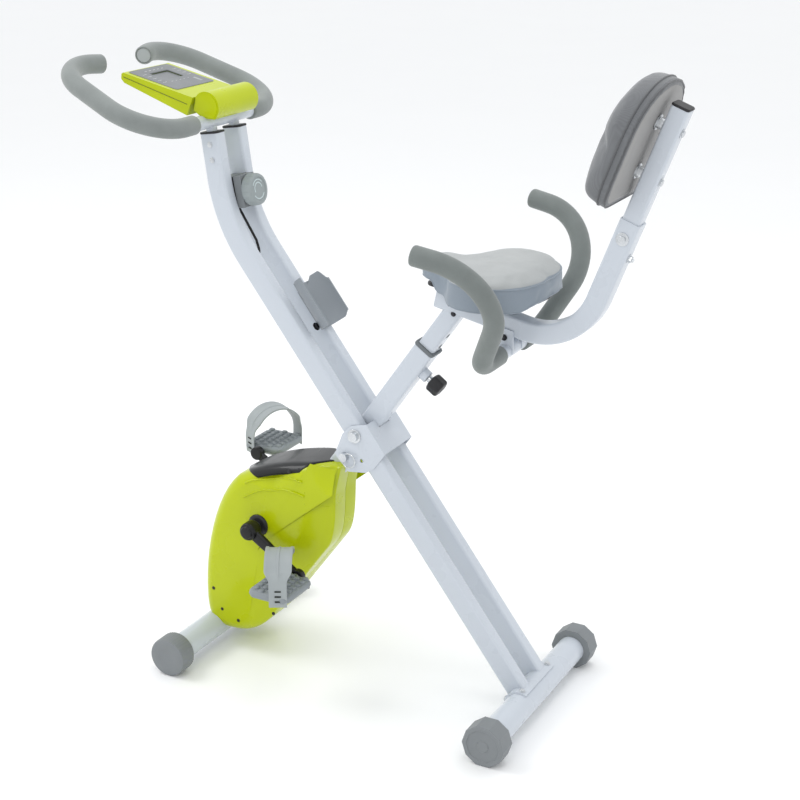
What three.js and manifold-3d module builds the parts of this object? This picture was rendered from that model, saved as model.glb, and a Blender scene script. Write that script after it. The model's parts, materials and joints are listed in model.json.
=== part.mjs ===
// Folding upright exercise bike: two crossed frames joined by a pivot bolt.
// The rear frame runs from the handlebar down to the rear foot, and the front frame runs from the
// seat down to the front foot and carries the pedals, the flywheel and their housing.
// Millimetres. +X is the rider's left, -Y is forward, +Z is up, and the floor is z = 0.
import * as THREE from "three";
import { mergeVertices } from "three/addons/utils/BufferGeometryUtils.js";
import Module from "manifold-3d";

const wasm = await Module();
wasm.setup();

// ---------------------------------------------------------------- driving dimensions
const GAP = 0.3; // between two pieces that touch
const BEND_STEPS = 4; // steps round each bend of a handle tube

const PIVOT = { y: -10, z: 480, bolt: 6 };
const FOOT = { reach: 323, height: 37, tube: 25, wall: 2, halfLength: 211, capLength: 36, saddle: 3 };
const UPRIGHT = { x: 34.5, width: 25, depth: 38, wall: 2 };
const KNEE = { s: 442, radius: 300, lean: 8, above: 156 }; // the bend near the top of the uprights
const MAIN = { size: 38, wall: 1.6, top: 203.5 };
const POST = { size: 32, wall: 1.6, bottom: 85, top: 330 };
const HANDLEBAR = { tube: 12.5, wall: 2, rise: 20, grip: 16.8, gripStart: 84, legs: 9.5, legLength: 95 };
const SEAT_BAR = { y: 262, z: 670, corner: 118, gripStart: 42 };
const BACK_TUBE = { lean: 20.8, size: 35, inner: 30, cornerY: 382.5, slope: 0.2206, radius: 110, end: 238 };
const BACKREST = { top: 432, bottom: 260, apex: 465, halfWidth: 104, spacer: 8, board: 8, pad: 46 };
const SEAT = { nose: 95, rear: 345, halfWidth: 126, noseHalfWidth: 40, bottom: 753, top: 813 };
const CRANK = { y: -208, z: 273, length: 122, x: 91.5, axle: 8, tilt: 34.7 };
const PEDAL = { x: 152, width: 95, length: 84, height: 26, spindle: 6 };
const FLYWHEEL = { y: -240, z: 148, radius: 62, x: 36, thickness: 16, shaft: 8 };
const BELT = { x: -32, width: 14, drive: 78, driven: 16, thickness: 2.5 };
const HOUSING = { halfWidth: 65, bevel: 22, crown: 18, wall: 2.5, split: 0.15 };
const CONSOLE = { halfWidth: 68, front: -461, height: 1084, slope: 12.5, length: 152 };
const KNOB = { y: -280.5, z: 879, lean: 10, radius: 29 };

const MATERIALS = {
  white_paint: { color: 0xe9ebee, roughness: 0.35, metalness: 0.1 },
  green_shell: { color: 0xb6cc14, roughness: 0.25, metalness: 0 },
  black_gloss: { color: 0x18191b, roughness: 0.2, metalness: 0 },
  black_plastic: { color: 0x1c1d1f, roughness: 0.5, metalness: 0 },
  grey_plastic: { color: 0x8f979b, roughness: 0.55, metalness: 0 },
  dark_grey_plastic: { color: 0x6b7074, roughness: 0.6, metalness: 0 },
  pale_grey_plastic: { color: 0xa3a9a9, roughness: 0.5, metalness: 0 },
  foam: { color: 0x8c9494, roughness: 0.9, metalness: 0 },
  vinyl: { color: 0xb0b3b1, roughness: 0.55, metalness: 0 },
  backrest_fabric: { color: 0x6f7276, roughness: 0.85, metalness: 0 },
  steel: { color: 0xc0c3c6, roughness: 0.3, metalness: 0.9 },
  black_metal: { color: 0x1b1c1e, roughness: 0.35, metalness: 0.4 },
  cast_iron: { color: 0x55585b, roughness: 0.5, metalness: 0.8 },
  rubber: { color: 0x191919, roughness: 0.85, metalness: 0 },
  screen: { color: 0x59645a, roughness: 0.1, metalness: 0 },
};
const materials = Object.fromEntries(
  Object.entries(MATERIALS).map(([name, look]) => [name, new THREE.MeshStandardMaterial(look)]),
);

// ---------------------------------------------------------------- solids
function weld(geometry) {
  const loose = geometry.index ? geometry.toNonIndexed() : geometry;
  const bare = new THREE.BufferGeometry().setAttribute("position", loose.getAttribute("position"));
  return mergeVertices(bare, 1e-3);
}

// A closed geometry as a manifold solid with its faces pointing out.
function solid(geometry) {
  const merged = geometry.userData.welded ? geometry : weld(geometry);
  const index = merged.index.array;
  const kept = [];
  for (let i = 0; i < index.length; i += 3) {
    const [a, b, c] = [index[i], index[i + 1], index[i + 2]];
    if (a !== b && b !== c && c !== a) kept.push([a, b, c]);
  }
  const build = (triangles) =>
    new wasm.Manifold(
      new wasm.Mesh({
        numProp: 3,
        vertProperties: merged.attributes.position.array,
        triVerts: new Uint32Array(triangles.flat()),
      }),
    );
  const made = build(kept);
  return made.volume() > 0 ? made : build(kept.map(([a, b, c]) => [a, c, b]));
}

function geometryOf(made) {
  const { vertProperties, triVerts } = made.getMesh();
  const geometry = new THREE.BufferGeometry()
    .setAttribute("position", new THREE.BufferAttribute(new Float32Array(vertProperties), 3))
    .setIndex(new THREE.BufferAttribute(new Uint32Array(triVerts), 1));
  geometry.userData.welded = true;
  return geometry;
}

const join = (...geometries) => geometryOf(geometries.map(solid).reduce((a, b) => a.add(b)));
const cut = (base, ...tools) =>
  geometryOf(tools.map(solid).reduce((a, b) => a.subtract(b), solid(base)));
const common = (a, b) => geometryOf(solid(a).intersect(solid(b)));

const bike = new THREE.Group();

// Each moving body has its own group.
function bodyGroup() {
  const group = new THREE.Group();
  bike.add(group);
  return group;
}

function add(group, name, geometry, material) {
  const clean = geometryOf(solid(geometry));
  clean.computeVertexNormals();
  const mesh = new THREE.Mesh(clean, materials[material]);
  mesh.name = name;
  group.add(mesh);
}

// ---------------------------------------------------------------- shapes
const radians = THREE.MathUtils.degToRad;

// Axes of a run that lies in the YZ plane: x stays lateral, y is the run's rear-facing normal
// and z points along the run, up and `lean` degrees to the rear of vertical.
function runFrame(y, z, lean) {
  const [s, c] = [Math.sin(radians(lean)), Math.cos(radians(lean))];
  return new THREE.Matrix4()
    .makeBasis(new THREE.Vector3(1, 0, 0), new THREE.Vector3(0, c, -s), new THREE.Vector3(0, s, c))
    .setPosition(0, y, z);
}
const leanOf = (dy, dz) => THREE.MathUtils.radToDeg(Math.atan2(dy, dz));
const uprightLean = leanOf(PIVOT.y - FOOT.reach, PIVOT.z - FOOT.height);
const mainLean = leanOf(PIVOT.y + FOOT.reach, PIVOT.z - FOOT.height);
const uprightFrame = runFrame(PIVOT.y, PIVOT.z, uprightLean);
const mainFrame = runFrame(PIVOT.y, PIVOT.z, mainLean);
const point = (frame, n, s, x = 0) => new THREE.Vector3(x, n, s).applyMatrix4(frame);
const placed = (geometry, frame) => geometry.applyMatrix4(frame);

function box(x0, x1, y0, y1, z0, z1) {
  const block = new THREE.BoxGeometry(x1 - x0, y1 - y0, z1 - z0);
  return block.translate((x0 + x1) / 2, (y0 + y1) / 2, (z0 + z1) / 2);
}

// A cylinder along X from x0 to x1 about the point (y, z).
function rodX(radius, x0, x1, y = 0, z = 0, sides = 16) {
  return new THREE.CylinderGeometry(radius, radius, x1 - x0, sides)
    .rotateZ(Math.PI / 2)
    .translate((x0 + x1) / 2, y, z);
}

// A cylinder along Y from y0 to y1 about the point (x, z).
function rodY(radius, y0, y1, x = 0, z = 0, sides = 16) {
  return new THREE.CylinderGeometry(radius, radius, y1 - y0, sides).translate(x, (y0 + y1) / 2, z);
}

// A turned piece about X. The profile lists [x, radius] and starts and ends on the axis.
function turnedX(profile, y, z, sides = 24) {
  const points = profile.map(([x, radius]) => new THREE.Vector2(radius, x));
  return new THREE.LatheGeometry(points, sides).rotateZ(-Math.PI / 2).translate(0, y, z);
}

function ringX(outer, inner, x0, x1, y, z, sides = 24) {
  return cut(rodX(outer, x0, x1, y, z, sides), rodX(inner, x0 - 1, x1 + 1, y, z, sides));
}

// Turns a shape drawn in XY and extruded along Z so that it lies in YZ and runs along X.
const toYZ = new THREE.Matrix4().makeBasis(
  new THREE.Vector3(0, 1, 0),
  new THREE.Vector3(0, 0, 1),
  new THREE.Vector3(1, 0, 0),
);

// A plate whose outline lies in the YZ plane, from x0 to x1.
function plateX(shape, x0, x1, curveSegments = 8) {
  const flat = new THREE.ExtrudeGeometry(shape, { depth: x1 - x0, bevelEnabled: false, curveSegments });
  return flat.applyMatrix4(toYZ).translate(x0, 0, 0);
}

// A copy of a left-hand piece for the given side: 1 is left and -1 is right.
const mirrored = (geometry, side) => geometry.applyMatrix4(new THREE.Matrix4().makeScale(side, 1, 1));

const outline = (points) => new THREE.Shape(points.map(([a, b]) => new THREE.Vector2(a, b)));

function roundedRectangle(width, height, radius) {
  const [a, b] = [width / 2 - radius, height / 2 - radius];
  return new THREE.Shape()
    .absarc(a, b, radius, 0, Math.PI / 2)
    .absarc(-a, b, radius, Math.PI / 2, Math.PI)
    .absarc(-a, -b, radius, Math.PI, 1.5 * Math.PI)
    .absarc(a, -b, radius, 1.5 * Math.PI, 2 * Math.PI);
}

function boxSection(width, height, wall, radius = 4) {
  const shape = roundedRectangle(width, height, radius);
  const [a, b] = [width / 2 - wall, height / 2 - wall];
  shape.holes.push(new THREE.Path([[-a, -b], [-a, b], [a, b], [a, -b]].map((p) => new THREE.Vector2(...p))));
  return shape;
}

function polygon(radius, sides) {
  return Array.from({ length: sides }, (_, i) => {
    const angle = (2 * Math.PI * i) / sides;
    return new THREE.Vector2(radius * Math.cos(angle), radius * Math.sin(angle));
  });
}

function roundSection(radius, bore, sides = 14) {
  const shape = new THREE.Shape(polygon(radius, sides));
  if (bore > 0) shape.holes.push(new THREE.Path(polygon(bore, sides)));
  return shape;
}

// Straight runs between corner points, with an arc of the given radius at each corner.
// It is sampled only where it turns, so straight runs stay one step long.
class BentPath extends THREE.Curve {
  constructor(corners, radii, arcSteps = 5) {
    super();
    this.stations = [];
    const last = corners.length - 1;
    const direction = (i) => corners[i + 1].clone().sub(corners[i]).normalize();
    this.stations.push([corners[0], direction(0)]);
    for (let i = 1; i < last; i++) {
      const [into, out] = [direction(i - 1), direction(i)];
      const turn = into.angleTo(out);
      const radius = radii[i - 1];
      const inward = out.clone().addScaledVector(into, -Math.cos(turn)).divideScalar(Math.sin(turn));
      const start = corners[i].clone().addScaledVector(into, -radius * Math.tan(turn / 2));
      for (let k = 0; k <= arcSteps; k++) {
        const angle = (turn * k) / arcSteps;
        const at = start
          .clone()
          .addScaledVector(into, radius * Math.sin(angle))
          .addScaledVector(inward, radius * (1 - Math.cos(angle)));
        const along = into.clone().multiplyScalar(Math.cos(angle)).addScaledVector(inward, Math.sin(angle));
        this.stations.push([at, along]);
      }
    }
    this.stations.push([corners[last], direction(last - 1)]);
  }
  get steps() {
    return this.stations.length - 1;
  }
  getPointAt(u, target = new THREE.Vector3()) {
    return target.copy(this.stations[Math.round(u * this.steps)][0]);
  }
  getTangentAt(u, target = new THREE.Vector3()) {
    return target.copy(this.stations[Math.round(u * this.steps)][1]);
  }
}

function swept(section, corners, radii, arcSteps = 5) {
  const path = new BentPath(corners, radii, arcSteps);
  const options = { steps: path.steps, extrudePath: path, bevelEnabled: false, curveSegments: 1 };
  return new THREE.ExtrudeGeometry(section, options);
}

// ---------------------------------------------------------------- rear frame
const rearFrame = bodyGroup();

const uprightFoot = new THREE.Vector3(0, FOOT.reach, FOOT.height);
const knee = point(uprightFrame, 0, KNEE.s);
const topLean = radians(KNEE.lean);
const topDirection = new THREE.Vector3(0, -Math.sin(topLean), Math.cos(topLean));
const uprightTop = knee.clone().addScaledVector(topDirection, KNEE.above);

// The centre line of an upright, moved sideways to x.
function uprightLine(x) {
  return [uprightFoot, knee, uprightTop].map((p) => p.clone().setX(x));
}

const CABLE_HOLE = { s: 362, radius: 4 };
const saddleTop = FOOT.tube + FOOT.saddle + 2 * GAP;

function makeUpright(side) {
  const x = side * UPRIGHT.x;
  const section = boxSection(UPRIGHT.width, UPRIGHT.depth, UPRIGHT.wall);
  const tube = swept(section, uprightLine(x), [KNEE.radius], 5);
  const tools = [
    rodX(saddleTop, x - 30, x + 30, FOOT.reach, FOOT.height, 24),
    rodX(PIVOT.bolt + GAP, x - 30, x + 30, PIVOT.y, PIVOT.z, 12),
  ];
  if (side > 0) {
    const inlet = point(uprightFrame, 0, CABLE_HOLE.s);
    tools.push(rodX(CABLE_HOLE.radius, x - 30, x, inlet.y, inlet.z, 10));
  }
  return cut(tube, ...tools);
}
add(rearFrame, "left_upright", makeUpright(1), "white_paint");
add(rearFrame, "right_upright", makeUpright(-1), "white_paint");

// A folded steel bracket: two cheeks outside the uprights and a web behind them.
// The notch in its top edge is the stop for the front frame.
const BRACKET = { inner: 47.3, plate: 3, webFront: 31, lockPin: [-41.3, -21.5], spareHole: [-15.5, -43.8] };

function makePivotBracket() {
  const [x0, x1, rear] = [BRACKET.inner, BRACKET.inner + BRACKET.plate, BRACKET.webFront + BRACKET.plate];
  const cheek = outline([
    [rear, 5.5],
    [4, 18.5],
    [-19, 15],
    [-50, -4],
    [-57, -12],
    [-52, -48],
    [-21, -66],
    [-2, -67],
    [rear, -56],
  ]);
  const cheeks = [x0, -x1].map((x) => plateX(cheek, x, x + BRACKET.plate));
  const web = box(-x1, x1, BRACKET.webFront, rear, -56, 5.5);
  const across = (radius, [n, s]) => rodX(radius, -70, 70, n, s, 12);
  const made = cut(
    join(...cheeks, web),
    across(PIVOT.bolt + GAP, [0, 0]),
    across(5.4, BRACKET.lockPin),
    across(4, BRACKET.spareHole),
  );
  const half = MAIN.size / 2 + 0.5;
  return cut(placed(made, uprightFrame), placed(box(-half, half, -half, half, -90, 90), mainFrame));
}
add(rearFrame, "pivot_bracket", makePivotBracket(), "white_paint");

function makePivotBolt() {
  const [r, washer, face] = [PIVOT.bolt, 13, BRACKET.inner + BRACKET.plate + GAP];
  const end = face + 2.5;
  const nutSide = [[-end - 7.5, 0], [-end - 7.5, 9.5], [-end, 9.5], [-end, washer], [-face, washer]];
  const headSide = [[face, washer], [end, washer], [end, 9], [end + 6.5, 9], [end + 6.5, 0]];
  const profile = [...nutSide, [-face, r], [face, r], ...headSide];
  return turnedX(profile, PIVOT.y, PIVOT.z, 16);
}
add(rearFrame, "pivot_bolt", makePivotBolt(), "steel");

function makeStabiliser(y) {
  const half = FOOT.halfLength - 5.5;
  return ringX(FOOT.tube, FOOT.tube - FOOT.wall, -half, half, y, FOOT.height, 24);
}
add(rearFrame, "rear_stabiliser", makeStabiliser(FOOT.reach), "white_paint");

// A curved plate between a stabiliser and the frame that stands on it, leaning as the frame does.
function makeSaddle(y, halfWidth, lean) {
  const ring = ringX(FOOT.tube + FOOT.saddle + GAP, FOOT.tube + GAP, -halfWidth, halfWidth, 0, 0, 24);
  const upper = box(-halfWidth - 1, halfWidth + 1, -40, 40, 9, 40).rotateX(-radians(lean));
  return common(ring, upper).translate(0, y, FOOT.height);
}
add(rearFrame, "rear_saddle", makeSaddle(FOOT.reach, 62, uprightLean), "white_paint");

// A cup over one end of a stabiliser. The polygon's across-flats size sets how high it carries the tube.
function makeFootCup(side, y, outer, sides, turn) {
  const cup = rodX(outer, FOOT.halfLength - FOOT.capLength, FOOT.halfLength, 0, 0, sides).rotateX(turn);
  const bore = rodX(FOOT.tube + 0.6, 0, FOOT.halfLength - 5, 0, 0, 24);
  return mirrored(cut(cup, bore), side).translate(0, y, FOOT.height);
}
const CAP_SIDES = 10;
const capRadius = FOOT.height / Math.cos(Math.PI / CAP_SIDES);
for (const [name, side] of [["rear_cap_left", 1], ["rear_cap_right", -1]]) {
  const cap = makeFootCup(side, FOOT.reach, capRadius, CAP_SIDES, Math.PI / CAP_SIDES);
  add(rearFrame, name, cap, "grey_plastic");
}

// The handlebar is one bent tube with two legs that stand in the open tops of the uprights.
const barCentre = uprightTop.clone().addScaledVector(topDirection, HANDLEBAR.rise);
const BAR_CORNER = { x: 215, radius: 84 };
const BAR_FRONT = { x: 160, y: -543, z: 1102, radius: 76 };
const BAR_TIP = { x: 60, y: -508, z: 1094 };

function barCorners(side, startX) {
  return [
    new THREE.Vector3(side * startX, barCentre.y, barCentre.z),
    new THREE.Vector3(side * BAR_CORNER.x, barCentre.y, barCentre.z),
    new THREE.Vector3(side * BAR_FRONT.x, BAR_FRONT.y, BAR_FRONT.z),
    new THREE.Vector3(side * BAR_TIP.x, BAR_TIP.y, BAR_TIP.z),
  ];
}
const barRadii = [BAR_CORNER.radius, BAR_FRONT.radius];

function makeHandlebar() {
  const section = roundSection(HANDLEBAR.tube, HANDLEBAR.tube - HANDLEBAR.wall, 10);
  const [, ...left] = barCorners(1, 0);
  const [, ...right] = barCorners(-1, 0);
  const radii = [...barRadii].reverse().concat(barRadii);
  const tube = swept(section, [...left.reverse(), ...right], radii, BEND_STEPS);
  const leg = (x) => {
    const foot = barCentre.clone().addScaledVector(topDirection, -HANDLEBAR.legLength).setX(x);
    return swept(roundSection(HANDLEBAR.legs, 0, 12), [foot, barCentre.clone().setX(x)], []);
  };
  return join(tube, leg(UPRIGHT.x), leg(-UPRIGHT.x));
}
add(rearFrame, "handlebar", makeHandlebar(), "white_paint");

const gripSection = () => roundSection(HANDLEBAR.grip, HANDLEBAR.tube + 1, 12);
for (const [name, side] of [["handlebar_grip_left", 1], ["handlebar_grip_right", -1]]) {
  const corners = barCorners(side, HANDLEBAR.gripStart);
  add(rearFrame, name, swept(gripSection(), corners, barRadii, BEND_STEPS), "foam");
}

// ---------------------------------------------------------------- console
// Its top face rises towards the front. In its own axes y runs from front to rear along that face.
const consoleFrame = new THREE.Matrix4()
  .makeRotationX(radians(-CONSOLE.slope))
  .setPosition(0, CONSOLE.front, CONSOLE.height);
const FACE = { x: 58, front: 8, rear: 112, depth: 2 };
const WINDOW = { x: 27, front: 30, rear: 66 };

function makeConsoleShell() {
  const side = outline([
    [0, -2],
    [2, 0],
    [CONSOLE.length, 0],
    [CONSOLE.length, -34],
    [3, -15],
    [0, -13],
  ]);
  const shell = plateX(side, -CONSOLE.halfWidth, CONSOLE.halfWidth);
  const recess = box(-FACE.x, FACE.x, FACE.front, FACE.rear, -FACE.depth, 5);
  const pocket = box(-WINDOW.x - 1, WINDOW.x + 1, WINDOW.front - 1, WINDOW.rear + 1, -6, 0);
  const buttonWell = box(-41, -31, 78, 102, -7, 0);
  const bar = rodX(HANDLEBAR.tube + GAP, -90, 90, barCentre.y, barCentre.z);
  return cut(placed(cut(shell, recess, pocket, buttonWell), consoleFrame), bar);
}
add(rearFrame, "console_shell", makeConsoleShell(), "green_shell");

function makeFaceplate() {
  const { x, front, rear, depth } = FACE;
  const plate = box(-x + GAP, x - GAP, front + GAP, rear - GAP, -depth + GAP, -0.2);
  const windowHole = box(-WINDOW.x, WINDOW.x, WINDOW.front, WINDOW.rear, -9, 9);
  const buttonHole = box(-40.5, -31.5, 79, 101, -9, 9);
  return placed(cut(plate, windowHole, buttonHole), consoleFrame);
}
add(rearFrame, "console_faceplate", makeFaceplate(), "dark_grey_plastic");

const screen = box(-WINDOW.x - 0.5, WINDOW.x + 0.5, WINDOW.front - 0.5, WINDOW.rear + 0.5, -5.7, -2);
add(rearFrame, "console_screen", placed(screen, consoleFrame), "screen");

const modeButton = bodyGroup();
add(modeButton, "mode_button", placed(box(-40, -32, 80, 100, -4.7, 1), consoleFrame), "pale_grey_plastic");

// A rounded cover that joins the console to the crossbar.
function makeConsoleCover() {
  const [y, z, radius] = [-289, 1036, 26];
  const shape = new THREE.Shape().absarc(y, z, radius, radians(-55), radians(150));
  shape.lineTo(y - 22, z - 18);
  const cover = plateX(shape, -63, 63, 6);
  const bar = rodX(HANDLEBAR.tube + GAP, -90, 90, barCentre.y, barCentre.z);
  const consoleSpace = box(-80, 80, -10, CONSOLE.length + GAP, -60, 30);
  return cut(cover, bar, placed(consoleSpace, consoleFrame));
}
add(rearFrame, "console_cover", makeConsoleCover(), "green_shell");

// ---------------------------------------------------------------- resistance control
const knobFrame = runFrame(KNOB.y, KNOB.z, -KNOB.lean);
const KNOB_FACE = { base: 35, front: 55 };

function makeKnobBase() {
  const half = UPRIGHT.x - UPRIGHT.width / 2 - GAP;
  const body = box(-half, half, -12, KNOB_FACE.base, -28, 28);
  const spindle = rodY(4.5, 15, KNOB_FACE.base + 5, 0, 0, 12);
  return placed(cut(body, spindle), knobFrame);
}
add(rearFrame, "knob_base", makeKnobBase(), "dark_grey_plastic");

const tensionKnob = bodyGroup();
function makeTensionKnob() {
  const head = rodY(KNOB.radius, KNOB_FACE.base + 0.5, KNOB_FACE.front, 0, 0, 24);
  return placed(join(head, rodY(4, 18, KNOB_FACE.base + 2, 0, 0, 10)), knobFrame);
}
add(tensionKnob, "tension_knob", makeTensionKnob(), "grey_plastic");

// The brake cable's upper stretch: out of the knob base, into the left upright, and down inside it.
const CABLE = { radius: 2.2 };
function makeUpperCable() {
  const inside = (s) => point(uprightFrame, 0, s, UPRIGHT.x);
  const inlet = point(uprightFrame, 0, CABLE_HOLE.s);
  const route = [
    point(knobFrame, 4, -29),
    new THREE.Vector3(0, inlet.y - 8, inlet.z + 26),
    inlet,
    inside(CABLE_HOLE.s).setX(30),
    inside(CABLE_HOLE.s - 30).setX(34),
    inside(30),
  ];
  return swept(roundSection(CABLE.radius, 0, 8), route, [12, 12, 10, 12], 3);
}
add(rearFrame, "brake_cable_upper", makeUpperCable(), "rubber");

// ---------------------------------------------------------------- bottle holder
function makeBottleHolder() {
  const [x, outer, inner, s0, s1] = [-20, 42, 38, 190, 286];
  const n = UPRIGHT.depth / 2 + 2 + outer;
  const from = radians(190);
  const to = radians(350);
  const cradle = new THREE.Shape().absarc(0, 0, outer, from, to).absarc(0, 0, inner, to, from, true);
  const tray = new THREE.ExtrudeGeometry(cradle, { depth: s1 - s0, bevelEnabled: false, curveSegments: 8 });
  const pad = box(-46, -23, UPRIGHT.depth / 2 + GAP, UPRIGHT.depth / 2 + 7, s0 + 8, s1 - 8);
  const notch = outline([[n - 22, s1 - 44], [n + 20, s1 + 4], [n - 8, s1 + 4]]);
  const made = cut(join(tray.translate(x, n, s0), pad), plateX(notch, x - 50, x - 25));
  return placed(made, uprightFrame);
}
add(rearFrame, "bottle_holder", makeBottleHolder(), "grey_plastic");

// ---------------------------------------------------------------- fold pin
const foldPin = bodyGroup();
function makeFoldPin() {
  const [n, s] = BRACKET.lockPin;
  const face = BRACKET.inner + BRACKET.plate + GAP;
  const tip = MAIN.size / 2 + 0.8;
  const pin = turnedX([[tip, 0], [tip, 5], [face, 5], [face, 8], [face + 9, 8], [face + 9, 0]], n, s, 16);
  const [ring, wire] = [13, 1.6];
  const hoop = new THREE.TorusGeometry(ring, wire, 6, 20).rotateY(Math.PI / 2);
  return placed(join(pin, hoop.translate(face + 5, n + 5.5, s - ring + 3)), uprightFrame);
}
add(foldPin, "fold_pin", makeFoldPin(), "steel");

// ---------------------------------------------------------------- front frame
const frontFrame = bodyGroup();
const footDistance = Math.hypot(FOOT.reach + PIVOT.y, PIVOT.z - FOOT.height);
const SEAT_PIN = { s: 161, bore: 4.5 };
const BRAKE_STUD = { s: -307, radius: 5 };
const CABLE_EXIT = { s: -222, radius: 7 };

function makeMainTube() {
  const section = boxSection(MAIN.size, MAIN.size, MAIN.wall);
  const ends = [new THREE.Vector3(0, 0, -footDistance), new THREE.Vector3(0, 0, MAIN.top)];
  const tube = placed(swept(section, ends, []), mainFrame);
  const stud = point(mainFrame, 0, BRAKE_STUD.s);
  const seatPin = placed(rodY(SEAT_PIN.bore, 0, 40, 0, SEAT_PIN.s, 12), mainFrame);
  const cable = point(mainFrame, 0, CABLE_EXIT.s);
  const made = cut(
    tube,
    rodX(saddleTop, -40, 40, -FOOT.reach, FOOT.height, 24),
    rodX(PIVOT.bolt + GAP, -40, 40, PIVOT.y, PIVOT.z, 12),
    rodX(FLYWHEEL.shaft + 0.4, -40, 40, FLYWHEEL.y, FLYWHEEL.z, 16),
    rodX(CABLE_EXIT.radius, 0, 40, cable.y, cable.z, 10),
    seatPin,
  );
  return join(made, rodX(BRAKE_STUD.radius, MAIN.size / 2 - 1, 47, stud.y, stud.z, 12));
}
add(frontFrame, "main_tube", makeMainTube(), "white_paint");

function makeSeatCollar() {
  const [s0, s1] = [MAIN.top + GAP, MAIN.top + 9];
  const [outer, inner] = [MAIN.size / 2 + 2, POST.size / 2 + 0.4];
  const collar = cut(box(-outer, outer, -outer, outer, s0, s1), box(-inner, inner, -inner, inner, 0, 300));
  return placed(collar, mainFrame);
}
add(frontFrame, "seat_collar", makeSeatCollar(), "dark_grey_plastic");

function makeSeatPinBoss() {
  const [n0, n1] = [MAIN.size / 2 + GAP, MAIN.size / 2 + 14];
  const at = [0, SEAT_PIN.s, 14];
  return placed(cut(rodY(11, n0, n1, ...at), rodY(SEAT_PIN.bore, 0, 60, 0, SEAT_PIN.s, 12)), mainFrame);
}
add(frontFrame, "seat_pin_boss", makeSeatPinBoss(), "white_paint");

const seatPin = bodyGroup();
function makeSeatPinKnob() {
  const [lobes, radius] = [6, 17];
  const points = Array.from({ length: 2 * lobes }, (_, i) => {
    const angle = (Math.PI * i) / lobes;
    const r = i % 2 ? radius - 3 : radius;
    return [r * Math.cos(angle), r * Math.sin(angle)];
  });
  const head = new THREE.ExtrudeGeometry(outline(points), { depth: 24, bevelEnabled: false });
  const pin = rodY(4, POST.size / 2 + 0.6, 44, 0, SEAT_PIN.s, 12);
  const neck = rodY(6.5, 33.6, 44, 0, SEAT_PIN.s, 12);
  return placed(join(head.rotateX(-Math.PI / 2).translate(0, 40, SEAT_PIN.s), neck, pin), mainFrame);
}
add(seatPin, "seat_pin_knob", makeSeatPinKnob(), "black_plastic");

add(frontFrame, "front_stabiliser", makeStabiliser(-FOOT.reach), "white_paint");
add(frontFrame, "front_saddle", makeSaddle(-FOOT.reach, 32, mainLean), "white_paint");
for (const [name, side] of [["roller_left", 1], ["roller_right", -1]]) {
  const sides = 30;
  add(bodyGroup(), name, makeFootCup(side, -FOOT.reach, FOOT.height, sides, 0), "grey_plastic");
}

// ---------------------------------------------------------------- seat and backrest
const seat = bodyGroup();

const backStart = new THREE.Vector3(0, 130, 743.8);
const backCorner = new THREE.Vector3(
  0,
  BACK_TUBE.cornerY,
  backStart.z - BACK_TUBE.slope * (BACK_TUBE.cornerY - backStart.y),
);
const backFrame = runFrame(backCorner.y, backCorner.z, BACK_TUBE.lean);

// The bent tube that carries the seat and the backrest, or the space it takes with clearance around it.
function bracketTube(clearance = 0) {
  const size = BACK_TUBE.size + 2 * clearance;
  const section = clearance ? roundedRectangle(size, size, 4) : boxSection(size, size, 2);
  const end = point(backFrame, 0, BACK_TUBE.end);
  return swept(section, [backStart, backCorner, end], [BACK_TUBE.radius], 6);
}

function makeSeatPost() {
  const section = boxSection(POST.size, POST.size, POST.wall);
  const post = swept(section, [new THREE.Vector3(0, 0, POST.bottom), new THREE.Vector3(0, 0, POST.top)], []);
  const holes = [-70, -45, -20, 5].map((s) => rodY(4.6, 10, 30, 0, SEAT_PIN.s + s, 8));
  const above = box(-40, 40, -200, 300, 0, 120);
  const tubeTop = new THREE.Matrix4().makeTranslation(0, 150, 742).multiply(
    new THREE.Matrix4().makeRotationX(-Math.atan(BACK_TUBE.slope)),
  );
  return cut(placed(cut(post, ...holes), mainFrame), bracketTube(GAP), placed(above, tubeTop));
}
add(seat, "seat_post", makeSeatPost(), "white_paint");
add(seat, "seat_bracket_tube", bracketTube(), "white_paint");

function makeBackrestTube() {
  const section = boxSection(BACK_TUBE.inner, BACK_TUBE.inner, 1.6);
  const ends = [new THREE.Vector3(0, 0, 150), new THREE.Vector3(0, 0, BACKREST.top)];
  return placed(swept(section, ends, []), backFrame);
}
add(seat, "backrest_tube", makeBackrestTube(), "white_paint");

function makeBackrestPlug() {
  const [top, half, stem] = [BACKREST.top + GAP, BACK_TUBE.inner / 2 + 0.5, BACK_TUBE.inner / 2 - 2.2];
  const cap = box(-half, half, -half, half, top, top + 4);
  return placed(join(cap, box(-stem, stem, -stem, stem, top - 18, top + 1)), backFrame);
}
add(seat, "backrest_plug", makeBackrestPlug(), "black_plastic");

// Arched outline of the backrest, flat at the bottom: x across, second coordinate up the tube.
function backrestOutline(inset) {
  const [w, r] = [BACKREST.halfWidth - inset, 34];
  const [bottom, apex, shoulder] = [BACKREST.bottom + inset, BACKREST.apex - inset, BACKREST.bottom + 116];
  const shape = new THREE.Shape();
  shape.moveTo(-w + r, bottom);
  shape.lineTo(w - r, bottom);
  shape.quadraticCurveTo(w - 4, bottom, w, bottom + r + 20);
  shape.lineTo(w, shoulder);
  shape.bezierCurveTo(w, apex - 25, w * 0.5, apex, 0, apex);
  shape.bezierCurveTo(-w * 0.5, apex, -w, apex - 25, -w, shoulder);
  shape.lineTo(-w, bottom + r + 20);
  shape.quadraticCurveTo(-w + 4, bottom, -w + r, bottom);
  return shape;
}

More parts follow.
